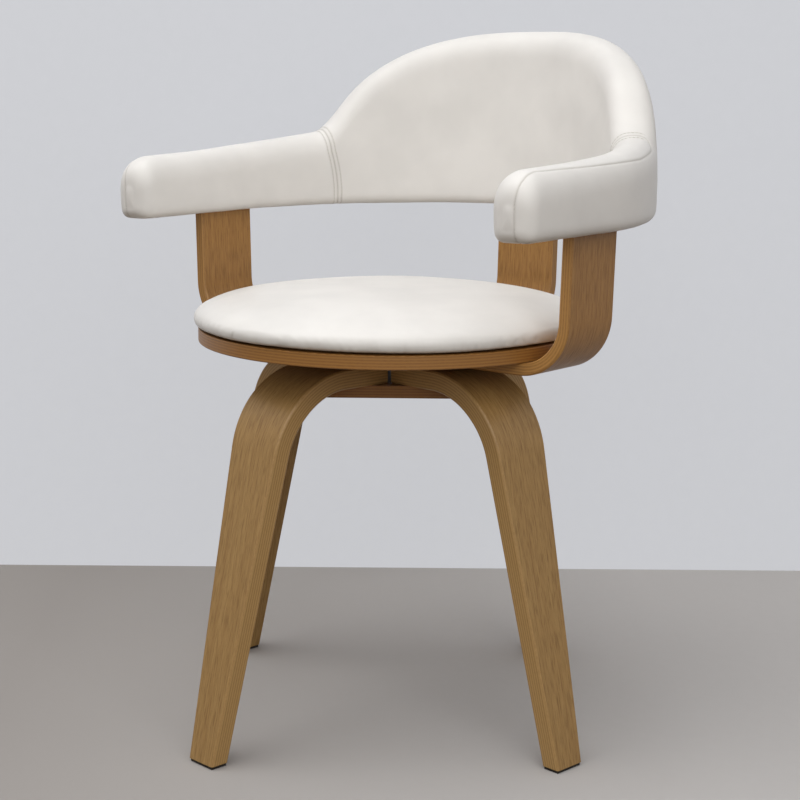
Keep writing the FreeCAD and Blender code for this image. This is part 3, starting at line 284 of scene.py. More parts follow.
def texture_noise(tree, vector, scale, detail=2.0, roughness=0.5):
    """Noise from 0 to 1."""
    values = {"Vector": vector, "Scale": scale, "Detail": detail, "Roughness": roughness}
    return add_node(tree, "TexNoise", values).outputs[0]


def remap(tree, value, low, high, to_low=0.0, to_high=1.0):
    """A value moved from one range to another, kept inside it."""
    values = {0: value, 1: low, 2: high, 3: to_low, 4: to_high}
    return add_node(tree, "MapRange", values).outputs[0]


def blend_colour(tree, amount, first, second):
    """Two colours mixed by an amount."""
    first, second = (tone if isinstance(tone, bpy.types.NodeSocket) else (*tone, 1.0)
                     for tone in (first, second))
    return add_node(tree, "Mix", {0: amount, 6: first, 7: second}, data_type="RGBA").outputs[2]


def new_material(name, roughness, metallic=0.0):
    """A material with a bare surface shader."""
    material = bpy.data.materials.new(name)
    material.use_nodes = True
    tree = material.node_tree
    shader = tree.nodes["Principled BSDF"]
    shader.inputs["Roughness"].default_value = roughness
    shader.inputs["Metallic"].default_value = metallic
    return material, tree, shader


def feed(tree, shader, name, value):
    """Link a value to one of the shader's sockets."""
    tree.links.new(value, shader.inputs[name])


def bump(tree, shader, height, strength, distance):
    """Relief on the surface."""
    values = {"Strength": strength, "Distance": distance, "Height": height}
    feed(tree, shader, "Normal", add_node(tree, "Bump", values).outputs[0])


# Plywood

# Marks per metre, along and across the grain
PORE_MARKS = (48.0, 620.0)
STREAK_MARKS = (5.0, 210.0)
SPECK_MARKS = (260.0, 900.0)
# Values of noise, or of the plies' wave, between which a mark sets in
PORE_RANGE = (0.46, 0.66)
STREAK_RANGE = (0.36, 0.64)
PLY_RANGE = (-0.35, 0.35)
# Across a strip, or upwards on a board, the part of the normal that parts edge from face
STRIP_EDGE = (0.62, 0.66)
BOARD_EDGE = (0.75, 0.70)
# Angles below this one lie past the bend's far end, and count on from half a turn
PAST_BEND = -1.6
RIM_RADIUS = 210 * MM


def grain_noise(tree, along, across, marks, seed, detail, roughness=0.5):
    """Noise whose marks are drawn out along the grain."""
    place = combine(tree, times(tree, along, marks[0]), times(tree, across, marks[1]), seed)
    return texture_noise(tree, place, 1.0, detail, roughness)


def wood_look(tree, shader, wood, stain, along, across, depth, on_edge, seed):
    """Veneer streaks on the faces and ply lines on the edges, by places in metres."""
    face, dark, light, edge, edge_dark = (
        [part * stained for part, stained in zip(tone, stain)]
        for tone in (wood.face, wood.dark, wood.light, wood.edge, wood.edge_dark))
    fine = grain_noise(tree, along, across, PORE_MARKS, seed, 4.0, 0.6)
    broad = grain_noise(tree, along, across, STREAK_MARKS, seed + 7.0, 4.0)
    specks = grain_noise(tree, along, depth, SPECK_MARKS, seed + 3.0, 2.0)
    pores = remap(tree, fine, *PORE_RANGE)
    streaks = remap(tree, broad, *STREAK_RANGE)
    tone = blend_colour(tree, times(tree, streaks, wood.streaks), face, light)
    tone = blend_colour(tree, times(tree, pores, wood.pores), tone, dark)
    wave = maths(tree, "SINE", times(tree, depth, math.pi / wood.ply))
    layers = remap(tree, wave, *PLY_RANGE)
    cross = times(tree, layers, remap(tree, specks, 0.3, 0.7, to_low=0.35, to_high=0.75))
    plies = blend_colour(tree, cross, edge, edge_dark)
    feed(tree, shader, "Base Color", blend_colour(tree, on_edge, tone, plies))
    height = maths(tree, "SUBTRACT", times(tree, layers, on_edge), pores)
    bump(tree, shader, height, 0.25, 0.1 * MM)
    feed(tree, shader, "Roughness", remap(tree, fine, 0.3, 0.8, wood.roughness - 0.05,
                                          wood.roughness + 0.12))


def strip_material(name, wood, stain, turn, middle, level, radius, lean, sign, seed):
    """Material of a bent strip: sign is -1 for a strip that bends down and 1 for one that rises."""
    material, tree, shader = new_material(name, wood.roughness)
    source = add_node(tree, "TexCoord").outputs
    out, across, up = split(tree, turned(tree, source["Object"], turn))
    facing = split(tree, turned(tree, source["Normal"], turn))[1]
    # Out and up from the middle of the bend, and the angle round it, held to the bend itself
    out_from = maths(tree, "SUBTRACT", out, middle)
    up_from = times(tree, maths(tree, "SUBTRACT", up, level), -sign)
    angle = maths(tree, "ARCTAN2", up_from, out_from)
    past = maths(tree, "LESS_THAN", angle, PAST_BEND)
    wrapped = maths(tree, "ADD", angle, times(tree, past, 2 * math.pi))
    kept = maths(tree, "MINIMUM", maths(tree, "MAXIMUM", wrapped, lean), math.pi / 2)
    cosine = maths(tree, "COSINE", kept)
    sine = maths(tree, "SINE", kept)
    # Depth below the outer face, and the way along the strip
    reach = maths(tree, "ADD", times(tree, out_from, cosine), times(tree, up_from, sine))
    depth = maths(tree, "SUBTRACT", radius, reach)
    slide = maths(tree, "SUBTRACT", times(tree, up_from, cosine), times(tree, out_from, sine))
    along = maths(tree, "ADD", times(tree, kept, radius), slide)
    on_edge = remap(tree, maths(tree, "ABSOLUTE", facing), *STRIP_EDGE)
    wood_look(tree, shader, wood, stain, along, across, depth, on_edge, seed)
    return material


def board_material(name, wood, stain, turn, bottom, seed):
    """Material of a flat board, with its plies round the rim."""
    material, tree, shader = new_material(name, wood.roughness)
    source = add_node(tree, "TexCoord").outputs
    along, across, up = split(tree, turned(tree, source["Object"], turn))
    level = maths(tree, "ABSOLUTE", split(tree, source["Normal"])[2])
    on_edge = remap(tree, level, *BOARD_EDGE)
    depth = maths(tree, "SUBTRACT", up, bottom)
    rim = times(tree, maths(tree, "ARCTAN2", across, along), RIM_RADIUS)
    run = maths(tree, "ADD", times(tree, along, maths(tree, "SUBTRACT", 1.0, on_edge)),
                times(tree, rim, on_edge))
    wood_look(tree, shader, wood, stain, run, across, depth, on_edge, seed)
    return material


def give(node, material):
    """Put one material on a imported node."""
    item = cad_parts[node]
    item.data.materials.clear()
    item.data.materials.append(material)


class CHAIR_OT_plywood(bpy.types.Operator):
    """Veneer and ply edges on legs, uprights and boards"""
    bl_idname = "chair.plywood"
    bl_label = "Plywood"

    def execute(self, context):
        wood = context.scene.chair_wood
        for number, side in enumerate(("left", "back", "right", "front")):
            give(f"leg_{side}", strip_material(
                f"leg veneer {side}", wood, wood.legs, wood.base_turn + number * math.pi / 2,
                wood.leg_middle, LEG_TOP - wood.leg_bend, wood.leg_bend, wood.leg_splay,
                sign=-1, seed=11.0 * number))
        low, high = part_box("support_left")
        level = low.z + wood.upright_bend
        middle = high.x - (high.z - level) * math.tan(wood.upright_lean) - wood.upright_bend
        # The uprights' stain is partly painted shade
        for number, side in enumerate(("left", "back", "right")):
            give(f"support_{side}", strip_material(
                f"upright veneer {side}", wood, wood.uprights, number * math.pi / 2,
                middle, level, wood.upright_bend, wood.upright_lean,
                sign=1, seed=50.0 + 9.0 * number))
        # The seat board's and clamp board's stains are partly painted shade, the clamp board's most
        # Board, stain, turn of its grain, seed
        for name, stain, turn, seed in (("seat_board", wood.rim, 0.7, 80.0),
                                        ("clamp_board", wood.clamp, wood.base_turn + 0.785, 90.0),
                                        ("cushion_base", wood.inside, 0.0, 95.0),
                                        ("wrap_shell", wood.inside, 0.0, 99.0)):
            give(name, board_material(f"{name} plywood", wood, stain, turn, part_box(name)[0].z,
                                      seed))
        return {"FINISHED"}


# Steel and felt

# Material, tone, roughness, metallic, marks per metre, and the nodes that get it
METALS = (
    ("black enamel", (0.018, 0.018, 0.02), 0.45, 0.0, 180.0,
     ("swivel_base_plate", "swivel_top_plate", "ball_cage")),
    ("zinc", (0.55, 0.56, 0.58), 0.38, 1.0, 400.0,
     ("leg_bolts", "leg_washers", "leg_nuts", "board_screws", "plate_screws", "support_screws",
      "cushion_screws", "wrap_screws", "pivot_rivet")),
    ("polished steel", (0.62, 0.62, 0.64), 0.16, 1.0, 250.0, ("bearing_balls",)),
)
FELT_DARK, FELT_PALE = (0.012, 0.009, 0.007), (0.045, 0.036, 0.030)


def metal_material(name, tone, roughness, metallic, scale):
    """Sheet or turned steel with faint brushing and handling marks."""
    material, tree, shader = new_material(name, roughness, metallic)
    marks = texture_noise(tree, object_place(tree), scale, 4.0, 0.6)
    wear_and_painted_shade = remap(tree, marks, 0.35, 0.7)
    feed(tree, shader, "Base Color", blend_colour(tree, wear_and_painted_shade, tone, scaled(tone, 0.75)))
    feed(tree, shader, "Roughness", remap(tree, marks, 0.3, 0.7, roughness * 0.8,
                                          roughness * 1.3))
    bump(tree, shader, marks, 0.08, 0.1 * MM)
    return material


class CHAIR_OT_hardware(bpy.types.Operator):
    """Steel plates, balls, bolts and screws, and the felt under the feet"""
    bl_idname = "chair.hardware"
    bl_label = "Hardware"

    def execute(self, context):
        for *look, nodes in METALS:
            metal = metal_material(*look)
            for name in nodes:
                give(name, metal)
        felt, tree, shader = new_material("foot felt", 0.95)
        fibres = texture_noise(tree, object_place(tree), 1400.0, 5.0, 0.7)
        feed(tree, shader, "Base Color", blend_colour(tree, fibres, FELT_DARK, FELT_PALE))
        bump(tree, shader, fibres, 0.6, 0.4 * MM)
        for side in ("front", "right", "back", "left"):
            give(f"foot_pad_{side}", felt)
        return {"FINISHED"}


# Upholstery

CLOUDS, PEBBLES, GRAIN, THREAD_TWIST = 14.0, 900.0, 500.0, 2500.0  # marks per metre
CLOUD_PALE, CLOUD_DARK = 1.03, 0.955
# Parts of the wall's section, from the underside outwards, with the number of points in each
SECTION = (("low", 17), ("outer low", 9), ("outer", 30), ("outer top", 64), ("inner top", 24),
           ("inner", 34), ("inner low", 9))
TOP_MOST, LOW_MOST = 0.55, 0.4  # the most of the height that a rounded edge takes
FLAT_SHARE = 0.45  # flat part of the underside
TOP_FULLNESS, LOW_FULLNESS, TIP_FULLNESS = 2.35, 2.6, 2.3  # 2 for a round edge, more for a fuller
# The seam's sweep at the inner face's top, and how it bends below and above that place
INNER_SWEEP, INNER_BEND, TOP_BEND = 0.5, 1.6, 1.2
LONG_SEAM_BEND = 0.85
STATION = 4.2 * MM  # between two rings of the wall
TIP_RINGS, CLOSING_RINGS = 24, 7
TIP_SWELL = 1.2 * MM
TIP_MIDDLE = 36 * MM  # above the underside
# Unevenness of the foam: height, scale and seed
WALL_RIPPLES = ((0.55 * MM, 17.0, 3.0), (0.16 * MM, 60.0, 8.0))
# Gathers under an arm tip: millimetres from its middle, half length, degrees round it, strength
GATHERS = ((-4, 6, 152, 1.0), (8, 3.5, 156, 0.9), (15, 3, 146, 0.6), (-14, 3, 150, 0.5))
# Two faint folds on the sitter's left: both ends on the wall, then width, depth and shade
ARM_FOLDS = (((("outer", 0.86, 276 * MM), ("outer", 0.98, 276 * MM)), 2.2 * MM, 0.7 * MM, 0.15),
             ((("outer top", 0.5, 470 * MM), ("outer", 0.7, 464 * MM)), 1.6 * MM, 0.6 * MM, 0.1))


def cover_material(name, plan):
    """Off-white imitation leather: fine grain, faint clouding, shade in the creases."""
    material, tree, shader = new_material(name, plan.roughness)
    place = object_place(tree)
    cloud = texture_noise(tree, place, CLOUDS, 3.0, 0.5)
    tone = blend_colour(tree, remap(tree, cloud, 0.35, 0.65), scaled(plan.cover, CLOUD_DARK),
                        scaled(plan.cover, CLOUD_PALE))
    # Painted shade from the crease attribute darkens the cover in seams, folds and gathers
    wear_and_painted_shade = add_node(tree, "Attribute", attribute_name="crease_shade").outputs["Fac"]
    feed(tree, shader, "Base Color", blend_colour(tree, wear_and_painted_shade, tone, plan.crease_shade))
    cells = add_node(tree, "TexVoronoi", {"Vector": place, "Scale": PEBBLES},
                     feature="DISTANCE_TO_EDGE").outputs["Distance"]
    pebbles = remap(tree, cells, 0.0, 0.3)
    grain = texture_noise(tree, place, GRAIN, 3.0, 0.6)
    bump(tree, shader, maths(tree, "ADD", times(tree, pebbles, 0.5), grain), 0.10, 0.3 * MM)
    shader.inputs["Sheen Weight"].default_value = 0.08
    shader.inputs["Sheen Roughness"].default_value = 0.5
    feed(tree, shader, "Roughness", remap(tree, cloud, 0.3, 0.7, plan.roughness - 0.04,
                                          plan.roughness + 0.06))
    return material


def shared_cover(plan):
    """The one cover material."""
    found = bpy.data.materials.get("cover")
    return found or cover_material("cover", plan)


def rounded_in(distance, length_in, depth, power=2.0):
    """How far a rounded corner lies behind its square one, at a distance from the end."""
    if distance >= length_in:
        return 0.0
    part = 1 - distance / length_in
    return depth * (1 - max(0.0, 1 - part ** power) ** (1 / power))


def wall_end(plan):
    """Place of the arm tips along the wall, from the middle of the back."""
    return plan.wall_radius * math.pi / 2 + plan.arm_length


def wall_height(plan, along):
    """Underside to the top: a full arch over the back that flows into the arms."""
    reach = abs(along)
    foot = plan.back_foot
    flow = plan.back_flow
    power = plan.back_fullness
    if reach <= foot:
        level = math.sqrt(1 - (reach / plan.back_half) ** power)
        return plan.back_height - plan.back_rise * (1 - level)
    tip = wall_end(plan)
    arm = tip - foot - flow
    if reach >= foot + flow:
        return plan.arm_height + plan.arm_swell * ((tip - min(tip, reach)) / arm) ** 2
    # Between both, a curve that meets either with its own height and slope
    level = math.sqrt(1 - (foot / plan.back_half) ** power)
    start = plan.back_height - plan.back_rise * (1 - level)
    fall = -plan.back_rise * power * (foot / plan.back_half) ** power / (2 * foot * level)
    stop = plan.arm_height + plan.arm_swell
    stop_fall = -2 * plan.arm_swell / arm
    part = (reach - foot) / flow
    rest = 1 - part
    return (start * (1 + 2 * part) * rest ** 2 + fall * flow * part * rest ** 2
            + stop * (1 + 2 * rest) * part ** 2 - stop_fall * flow * rest * part ** 2)


def wall_place(plan):
    """The small tilts and the shift with which the wall sits on the uprights."""
    centre = Matrix.Translation((0, 0, plan.underside))
    turns = (Matrix.Rotation(plan.twist, 4, "Z") @ Matrix.Rotation(plan.climb, 4, "X")
             @ Matrix.Rotation(plan.sag, 4, "Y"))
    return Matrix.Translation((plan.shift, 0, 0)) @ centre @ turns @ centre.inverted()


def section_point(kind, part, half, foot, top, low_round, top_round, crown):
    """A place on the wall's section as (outward, up), from the middle of its underside."""
    height = top - foot
    top_round = min(top_round, TOP_MOST * height)
    low_round = min(low_round, LOW_MOST * height)
    flat = FLAT_SHARE * half
    side_low = foot + low_round
    side_high = top - top_round
    if kind == "low":
        return flat * (2 * part - 1), foot
    sign = -1 if kind.startswith("inner") else 1
    across = 1.0
    core = 0.0
    if kind == "outer":
        up = side_low + (side_high - side_low) * part
    elif kind == "inner":
        up = side_high + (side_low - side_high) * part
    else:
        angle = (part if kind in ("outer top", "inner low") else 1 - part) * math.pi / 2
        high = kind.endswith("top")
        power = 2 / TOP_FULLNESS if high else 2 / LOW_FULLNESS
        across = abs(math.cos(angle)) ** power
        climb = abs(math.sin(angle)) ** power
        up = side_high + top_round * climb if high else side_low - low_round * climb
        core = 0.0 if high else flat
    level = (up - foot) / height
    bulge = crown * 4 * level * (1 - level)
    return sign * (core + (half - core + bulge) * across), up


def seam_share(kind, part):
    """How far the seam has swept towards the arm at a place on the section, from 0 to 1."""
    if kind == "inner":
        return INNER_SWEEP * (1 - part) ** INNER_BEND
    if kind == "inner top":
        return 1 - (1 - INNER_SWEEP) * part ** TOP_BEND
    if kind == "outer top":
        return 1.0
    return eased(part) if kind == "outer" else 0.0


def swept(plan, along, kind, part):
    """A distance along the wall, drawn towards the arm with the seam at that place."""
    away = abs(along) - plan.back_seam
    reach = plan.sweep_behind if away < 0 else plan.sweep_ahead
    fade = eased(max(0.0, 1 - abs(away) / reach))
    return along + math.copysign(plan.seam_sweep * seam_share(kind, part) * fade, along)


def wall_point(plan, place, kind, part, along):
    """A point on the padded wall's surface, in place on the chair."""
    here = swept(plan, along, kind, part)
    quarter = plan.wall_radius * math.pi / 2
    behind = max(0.0, wall_end(plan) - abs(here))
    full = plan.wall_thickness / 2
    half = full - rounded_in(behind, plan.tip_side, plan.tip_side)
    high = wall_height(plan, here)
    high -= rounded_in(behind, plan.tip_length, plan.tip_drop, TIP_FULLNESS)
    low = rounded_in(behind, plan.tip_lift, plan.tip_lift)
    shrink = half / full
    across, up = section_point(kind, part, half, low, high, plan.low_round * shrink,
                               plan.top_round * shrink, plan.crown * shrink)
    if abs(here) <= quarter:
        angle = here / plan.wall_radius
        outward = Vector((math.sin(angle), math.cos(angle), 0))
        middle = outward * plan.wall_radius
    else:
        side = math.copysign(1, here)
        outward = Vector((side, 0, 0))
        middle = Vector((side * plan.wall_radius, quarter - abs(here), 0))
    return place @ (middle + outward * across + UP * (plan.underside + up))


def stations(start, end, step, fine_at=(), fine_step=0.45 * MM, fine_width=7 * MM, growth=0.25):
    """Places from start to end, closer together near the fine places."""
    places = [start]
    while places[-1] < end - 1e-6:
        here = places[-1]
        near = min((abs(here - spot) for spot in fine_at), default=1.0)
        stride = min(step, fine_step + growth * max(0.0, near - fine_width))
        places.append(min(end, here + stride))
    if places[-1] - places[-2] < fine_step / 3:
        del places[-2]
    return places


def settle(mesh, moves):
    """Sink vertices along their normals, and note the shade for the material."""
    attribute = mesh.attributes.get("crease_shade") or mesh.attributes.new("crease_shade", "FLOAT", "POINT")
    normals = [vertex.normal.copy() for vertex, depth, shade in moves]
    for (vertex, depth, shade), normal in zip(moves, normals):
        vertex.co -= normal * depth
        kept = attribute.data[vertex.index].value
        attribute.data[vertex.index].value = max(kept, shade)
    mesh.update()


def sink(mesh, lines, depth, width, shade, sewn):
    """Sink the surface along lines: two rounded edges where it is sewn, else a soft dip."""
    points = [point for line in lines for point in finer(line, 0.2 * MM)]
    tree = kdtree.KDTree(len(points))
    for index, point in enumerate(points):
        tree.insert(point, index)
    tree.balance()
    moves = []
    for vertex in mesh.vertices:
        away = tree.find(vertex.co)[2] / width
        if away < (1.0 if sewn else 2.5):
            fall = 1 - math.sqrt(1 - (1 - away) ** 2) if sewn else math.exp(-away ** 2)
            moves.append((vertex, depth * fall, shade * fall))
    settle(mesh, moves)


def fold(mesh, first, last, width, depth, shade):
    """A short lens-shaped fold between two points."""
    run = last - first
    middle = (first + last) / 2
    reach = run.length / 2 + 3 * width
    moves = []
    for vertex in mesh.vertices:
        if (vertex.co - middle).length < reach:
            part = within((vertex.co - first).dot(run) / run.length_squared)
            aside = (vertex.co - first - run * part).length
            fall = math.exp(-(aside / width) ** 2) * 4 * part * (1 - part)
            moves.append((vertex, depth * fall, shade * fall))
    settle(mesh, moves)


def ripple(mesh, height, scale, seed):
    """Slow unevenness of foam under a tight cover."""
    moves = [vertex.normal * height * noise.noise(vertex.co * scale + Vector((seed, 0, 0)))
             for vertex in mesh.vertices]
    for vertex, move in zip(mesh.vertices, moves):
        vertex.co += move
    mesh.update()


def finer(line, step):
    """The same line with a point at least every step."""
    points = []
    for before, after in zip(line, line[1:]):
        parts = max(1, math.ceil((after - before).length / step))
        points += [before.lerp(after, index / parts) for index in range(parts)]
    return points + [line[-1]]


def thread_material(plan):
    """Twisted sewing thread."""
    material, tree, shader = new_material("thread", 0.6)
    twist = texture_noise(tree, object_place(tree), THREAD_TWIST, 2.0)
    feed(tree, shader, "Base Color", blend_colour(
        tree, twist, scaled(plan.thread, 0.75), plan.thread))
    bump(tree, shader, twist, 0.4, 0.1 * MM)
    return material


def stitch_ends(line, plan):
    """Both ends of every stitch along a line of points."""
    travelled = [0.0]
    for before, after in zip(line, line[1:]):
        travelled.append(travelled[-1] + (after - before).length)
    index = 1
    spots = []
    start = 0.0
    while start + plan.stitch < travelled[-1]:
        for distance in (start, start + plan.stitch):
            while travelled[index] < distance:
                index += 1
            span = travelled[index] - travelled[index - 1]
            part = (distance - travelled[index - 1]) / max(span, 1e-9)
            spots.append(line[index - 1].lerp(line[index], part))
        start += plan.stitch + plan.stitch_gap
    return zip(spots[0::2], spots[1::2])


def add_stitches(name, lines, plan, body):
    """Raised stitches along lines of points, in one mesh."""
    builder = bmesh.new()
    radius = plan.thread_radius
    for line in lines:
        for first, last in stitch_ends(line, plan):
            shaft = last - first
            turn = shaft.to_track_quat("Z", "Y").to_matrix().to_4x4()
            scale = Matrix.Diagonal((radius, radius, shaft.length / 2, 1.0))
            place = Matrix.Translation((first + last) / 2) @ turn @ scale
            bmesh.ops.create_uvsphere(builder, u_segments=8, v_segments=6, radius=1.0, matrix=place)
    mesh = bpy.data.meshes.new(name)
    builder.to_mesh(mesh)
    builder.free()
    mesh.materials.append(thread_material(plan))
    return new_object(name, mesh, body)


def closing_rings(ring, bulge):
    """Rings that close a tube's end with a slightly swollen face."""
    centre = sum(ring, Vector()) / len(ring)
    rings = []
    for step in range(1, CLOSING_RINGS):
        part = step / CLOSING_RINGS
        swell = bulge * (1 - (1 - part) ** 2)
        rings.append([centre.lerp(point, 1 - part) + swell for point in ring])
    return rings


def wall_cover(plan):
    """The mesh of back and arms in one, its rings closest together at the seams."""
    tip = wall_end(plan)
    half = stations(0.0, tip - plan.tip_length, STATION, (plan.back_seam,))
    half += [tip - plan.tip_length * (1 - math.sin(step * math.pi / (2 * TIP_RINGS)))
             for step in range(1, TIP_RINGS + 1)]
    distances = [-along for along in reversed(half[1:])] + half
    place = wall_place(plan)
    rings = [[wall_point(plan, place, kind, step / count, along)
              for kind, count in SECTION for step in range(count)] for along in distances]
    swell = place.to_3x3() @ Vector((0, -1, 0)) * TIP_SWELL
    first = list(reversed(closing_rings(rings[0], swell)))
    mesh = grid_mesh("back_and_arm_cover", first + rings + closing_rings(rings[-1], swell))
    mesh.update()
    for unevenness in WALL_RIPPLES:
        ripple(mesh, *unevenness)
    return mesh


def junction_line(plan, sign):
    """Seam between back and arm: from the underside up the inner face and over the top."""
    place = wall_place(plan)
    route = [("low", 0.5 - step / 20) for step in range(10)]
    # Part of the section, steps in it, and where the line leaves it
    for kind, count, stop in (("inner low", 10, 0.0), ("inner", 40, 0.0), ("inner top", 40, 0.0),
                              ("outer top", 16, plan.seam_turn)):
        route += [(kind, 1 - (1 - stop) * step / count) for step in range(count)]
    return [wall_point(plan, place, kind, part, sign * plan.back_seam)
            for kind, part in route]


def long_line(plan, sign):
    """Long seam: it leaves the other by a rounded corner and follows the arm's outer top edge."""
    place = wall_place(plan)
    seam = plan.back_seam
    start = seam + plan.seam_corner
    stop = wall_end(plan) - plan.tip_length
    low = plan.long_seam_back
    high = plan.long_seam_front
    route = []
    for step in range(25):
        turn = step / 24 * math.pi / 2
        route.append((low + (plan.seam_turn - low) * (1 - math.sin(turn)),
                      seam + plan.seam_corner * (1 - math.cos(turn))))
    for along in stations(start, stop, 2 * MM)[1:]:
        climb = max(0.0, (along - plan.long_seam_rise) / (stop - plan.long_seam_rise))
        route.append((low + (high - low) * climb ** LONG_SEAM_BEND, along))
    return [wall_point(plan, place, "outer top", part, sign * along) for part, along in route]


def tip_spot(plan, surface, sign, across, turn):
    """Place on an arm's rounded tip, seen from its middle: turn is 0 upwards, pi downwards."""
    place = wall_place(plan)
    middle = place @ Vector((sign * (plan.wall_radius + across),
                             plan.tip_length - plan.arm_length,
                             plan.underside + TIP_MIDDLE))
    way = place.to_3x3() @ Vector((0, -math.sin(turn), math.cos(turn)))
    return surface.ray_cast(middle, way)[0]


def tip_line(plan, surface, sign):
    """The long seam's end over the arm's tip and down its front."""
    points = []
    for step in range(1, 34):
        turn = step * math.radians(5)
        part = within((turn - math.pi / 4) / (math.pi / 4))
        across = plan.long_across + (plan.tip_across - plan.long_across) * part
        points.append(tip_spot(plan, surface, sign, across, turn))
    return points


def beside(line, surface, offset):
    """A line at an even distance from another one on the surface."""
    points = []
    for index, point in enumerate(line):
        run = line[min(index + 1, len(line) - 1)] - line[max(index - 1, 0)]
        facing = surface.find_nearest(point)[1]
        points.append(surface.find_nearest(point + run.cross(facing).normalized() * offset)[0])
    return points


class CHAIR_OT_back_and_arms(bpy.types.Operator):
    """Padded back and arms with their seams, topstitching and gathered tips"""
    bl_idname = "chair.back_and_arms"
    bl_label = "Back and arms"

    def execute(self, context):
        plan = context.scene.chair_cover
        mesh = wall_cover(plan)
        surface = BVHTree.FromPolygons([vertex.co for vertex in mesh.vertices],
                                       [face.vertices for face in mesh.polygons])
        place = wall_place(plan)
        seams = []
        rows = []
        for sign in (-1, 1):
            junction = [surface.find_nearest(point)[0] for point in junction_line(plan, sign)]
            onward = [surface.find_nearest(point)[0] for point in long_line(plan, sign)]
            rows += [beside(junction, surface, side * plan.stitch_offset) for side in (-1, 1)]
            seams.append(junction + onward + tip_line(plan, surface, sign))
        sink(mesh, rows, depth=0.35 * MM, width=0.9 * MM, shade=0.22, sewn=False)
        sink(mesh, seams, plan.seam_depth, plan.seam_width, shade=0.6, sewn=True)
        for sign in (-1, 1):
            for across, reach, turn, strength in GATHERS:
                ends = [tip_spot(plan, surface, sign, (across + side * reach) * MM,
                                 math.radians(turn)) for side in (-1, 1)]
                fold(mesh, *ends, width=1.3 * MM, depth=strength * plan.gather,
                     shade=0.95 * strength)
        for spots, width, depth, shade in ARM_FOLDS:
            ends = [wall_point(plan, place, *spot) for spot in spots]
            fold(mesh, *ends, width, depth, shade)
        piece = new_object("back_and_arm_cover", mesh, "seat",
                           ("back_pad", "arm_pad_left", "arm_pad_right"))
        mesh.materials.append(shared_cover(plan))
        add_stitches("topstitching", rows, plan, "seat")
        return {"FINISHED"}


# Seat cushion

# Underside by shares of the radius, then the lower roll by millimetres in from it, each with
# its height in millimetres above the cushion's foot
SEAT_UNDERSIDE = ((0.50, 5), (0.90, 4.5))
SEAT_ROLL = ((13, 1.5), (7, 0.0), (3.6, 1.0), (1.5, 3.2), (0.4, 6.4))
# Rings of the crown, by shares of the radius
SEAT_CROWN = (1.0, 0.995, 0.985, 0.97, 0.945, 0.91, 0.865, 0.81, 0.74, 0.65, 0.54, 0.42, 0.29,
              0.16, 0.05)
SEAT_STEPS = 160
# Slow waves and short tucks round the lower edge, the edge's place and reach by shares of the
# radius, and the height over which they fade
WAVES, TUCKS = 9, 34
EDGE_PLACE, EDGE_REACH, EDGE_FADE = 0.98, 0.07, 9 * MM
# Small folds round the lower edge: degrees round, and the slant of each
SEAT_FOLDS = ((-15, 1.5), (-11, -1.0), (-7.5, 1.2), (-99, 1.0), (-118, -1.2))


def inflate(mesh, pressure, frames, most):
    """Let a closed cover swell under pressure, no point further than the given most."""
    before = [vertex.co.copy() for vertex in mesh.vertices]
    item = bpy.data.objects.new("cushion cloth", mesh)
    scene = bpy.context.scene
    scene.collection.objects.link(item)
    cloth = item.modifiers.new("cloth", "CLOTH").settings
    cloth.use_pressure = True
    cloth.uniform_pressure_force = pressure
    cloth.effector_weights.gravity = 0.0
    cloth.quality = 6
    cloth.tension_stiffness = 25
    cloth.compression_stiffness = 25
    cloth.bending_stiffness = 1.2
    for frame_number in range(1, frames + 1):
        scene.frame_set(frame_number)
    graph = bpy.context.evaluated_depsgraph_get()
    swollen = item.evaluated_get(graph).to_mesh()
    moved = [vertex.co.copy() for vertex in swollen.vertices]
    item.evaluated_get(graph).to_mesh_clear()
    scene.frame_set(1)
    bpy.data.objects.remove(item)
    for vertex, first, last in zip(mesh.vertices, before, moved):
        shift = last - first
        if shift.length > most:
            shift = shift * (most / shift.length)
        vertex.co = first + shift
    mesh.update()


def reshaped(mesh, kind, **settings):
    """The mesh that one modifier makes of another."""
    item = bpy.data.objects.new("form", mesh)
    bpy.context.scene.collection.objects.link(item)
    modifier = item.modifiers.new("form", kind)
    for key, value in settings.items():
        setattr(modifier, key, value)
    graph = bpy.context.evaluated_depsgraph_get()
    result = bpy.data.meshes.new_from_object(item.evaluated_get(graph))
    bpy.data.objects.remove(item)
    return result


def seat_form(plan, widest):
    """The cushion's plain form: underside, lower roll and crown."""
    radius = plan.seat_radius
    rings = [(part * radius, CUSHION_FOOT + up * MM) for part, up in SEAT_UNDERSIDE]
    rings += [(radius - inward * MM, CUSHION_FOOT + up * MM) for inward, up in SEAT_ROLL]
    for part in SEAT_CROWN:
        dome = (1 - part ** plan.seat_fullness) ** (1 / plan.seat_shoulder)
        rings.append((part * radius, widest + plan.seat_rise * dome))
    turns = [2 * step * math.pi / SEAT_STEPS for step in range(SEAT_STEPS)]
    return grid_mesh("seat_cover", [[Vector((out * math.cos(turn), out * math.sin(turn), up))
                                     for turn in turns] for out, up in rings])


def tuck(mesh, radius, widest):
    """Draw the lower edge in a little, unevenly, as a gathered cover does."""
    for vertex in mesh.vertices:
        turn = math.atan2(vertex.co.y, vertex.co.x)
        low = within((widest - vertex.co.z) / EDGE_FADE + 0.4)
        edge = max(0.0, 1 - abs(vertex.co.xy.length / radius - EDGE_PLACE) / EDGE_REACH)
        wave = noise.noise(Vector((math.cos(turn) * WAVES, math.sin(turn) * WAVES, 4.0)))
        pinch = noise.noise(Vector((math.cos(turn) * TUCKS, math.sin(turn) * TUCKS, 1.0)))
        push = (0.5 * wave + max(0.0, pinch)) * low * edge * MM
        vertex.co.x -= math.cos(turn) * push
        vertex.co.y -= math.sin(turn) * push
        vertex.co.z = max(CUSHION_FOOT - 0.3 * MM, vertex.co.z)
    mesh.update()


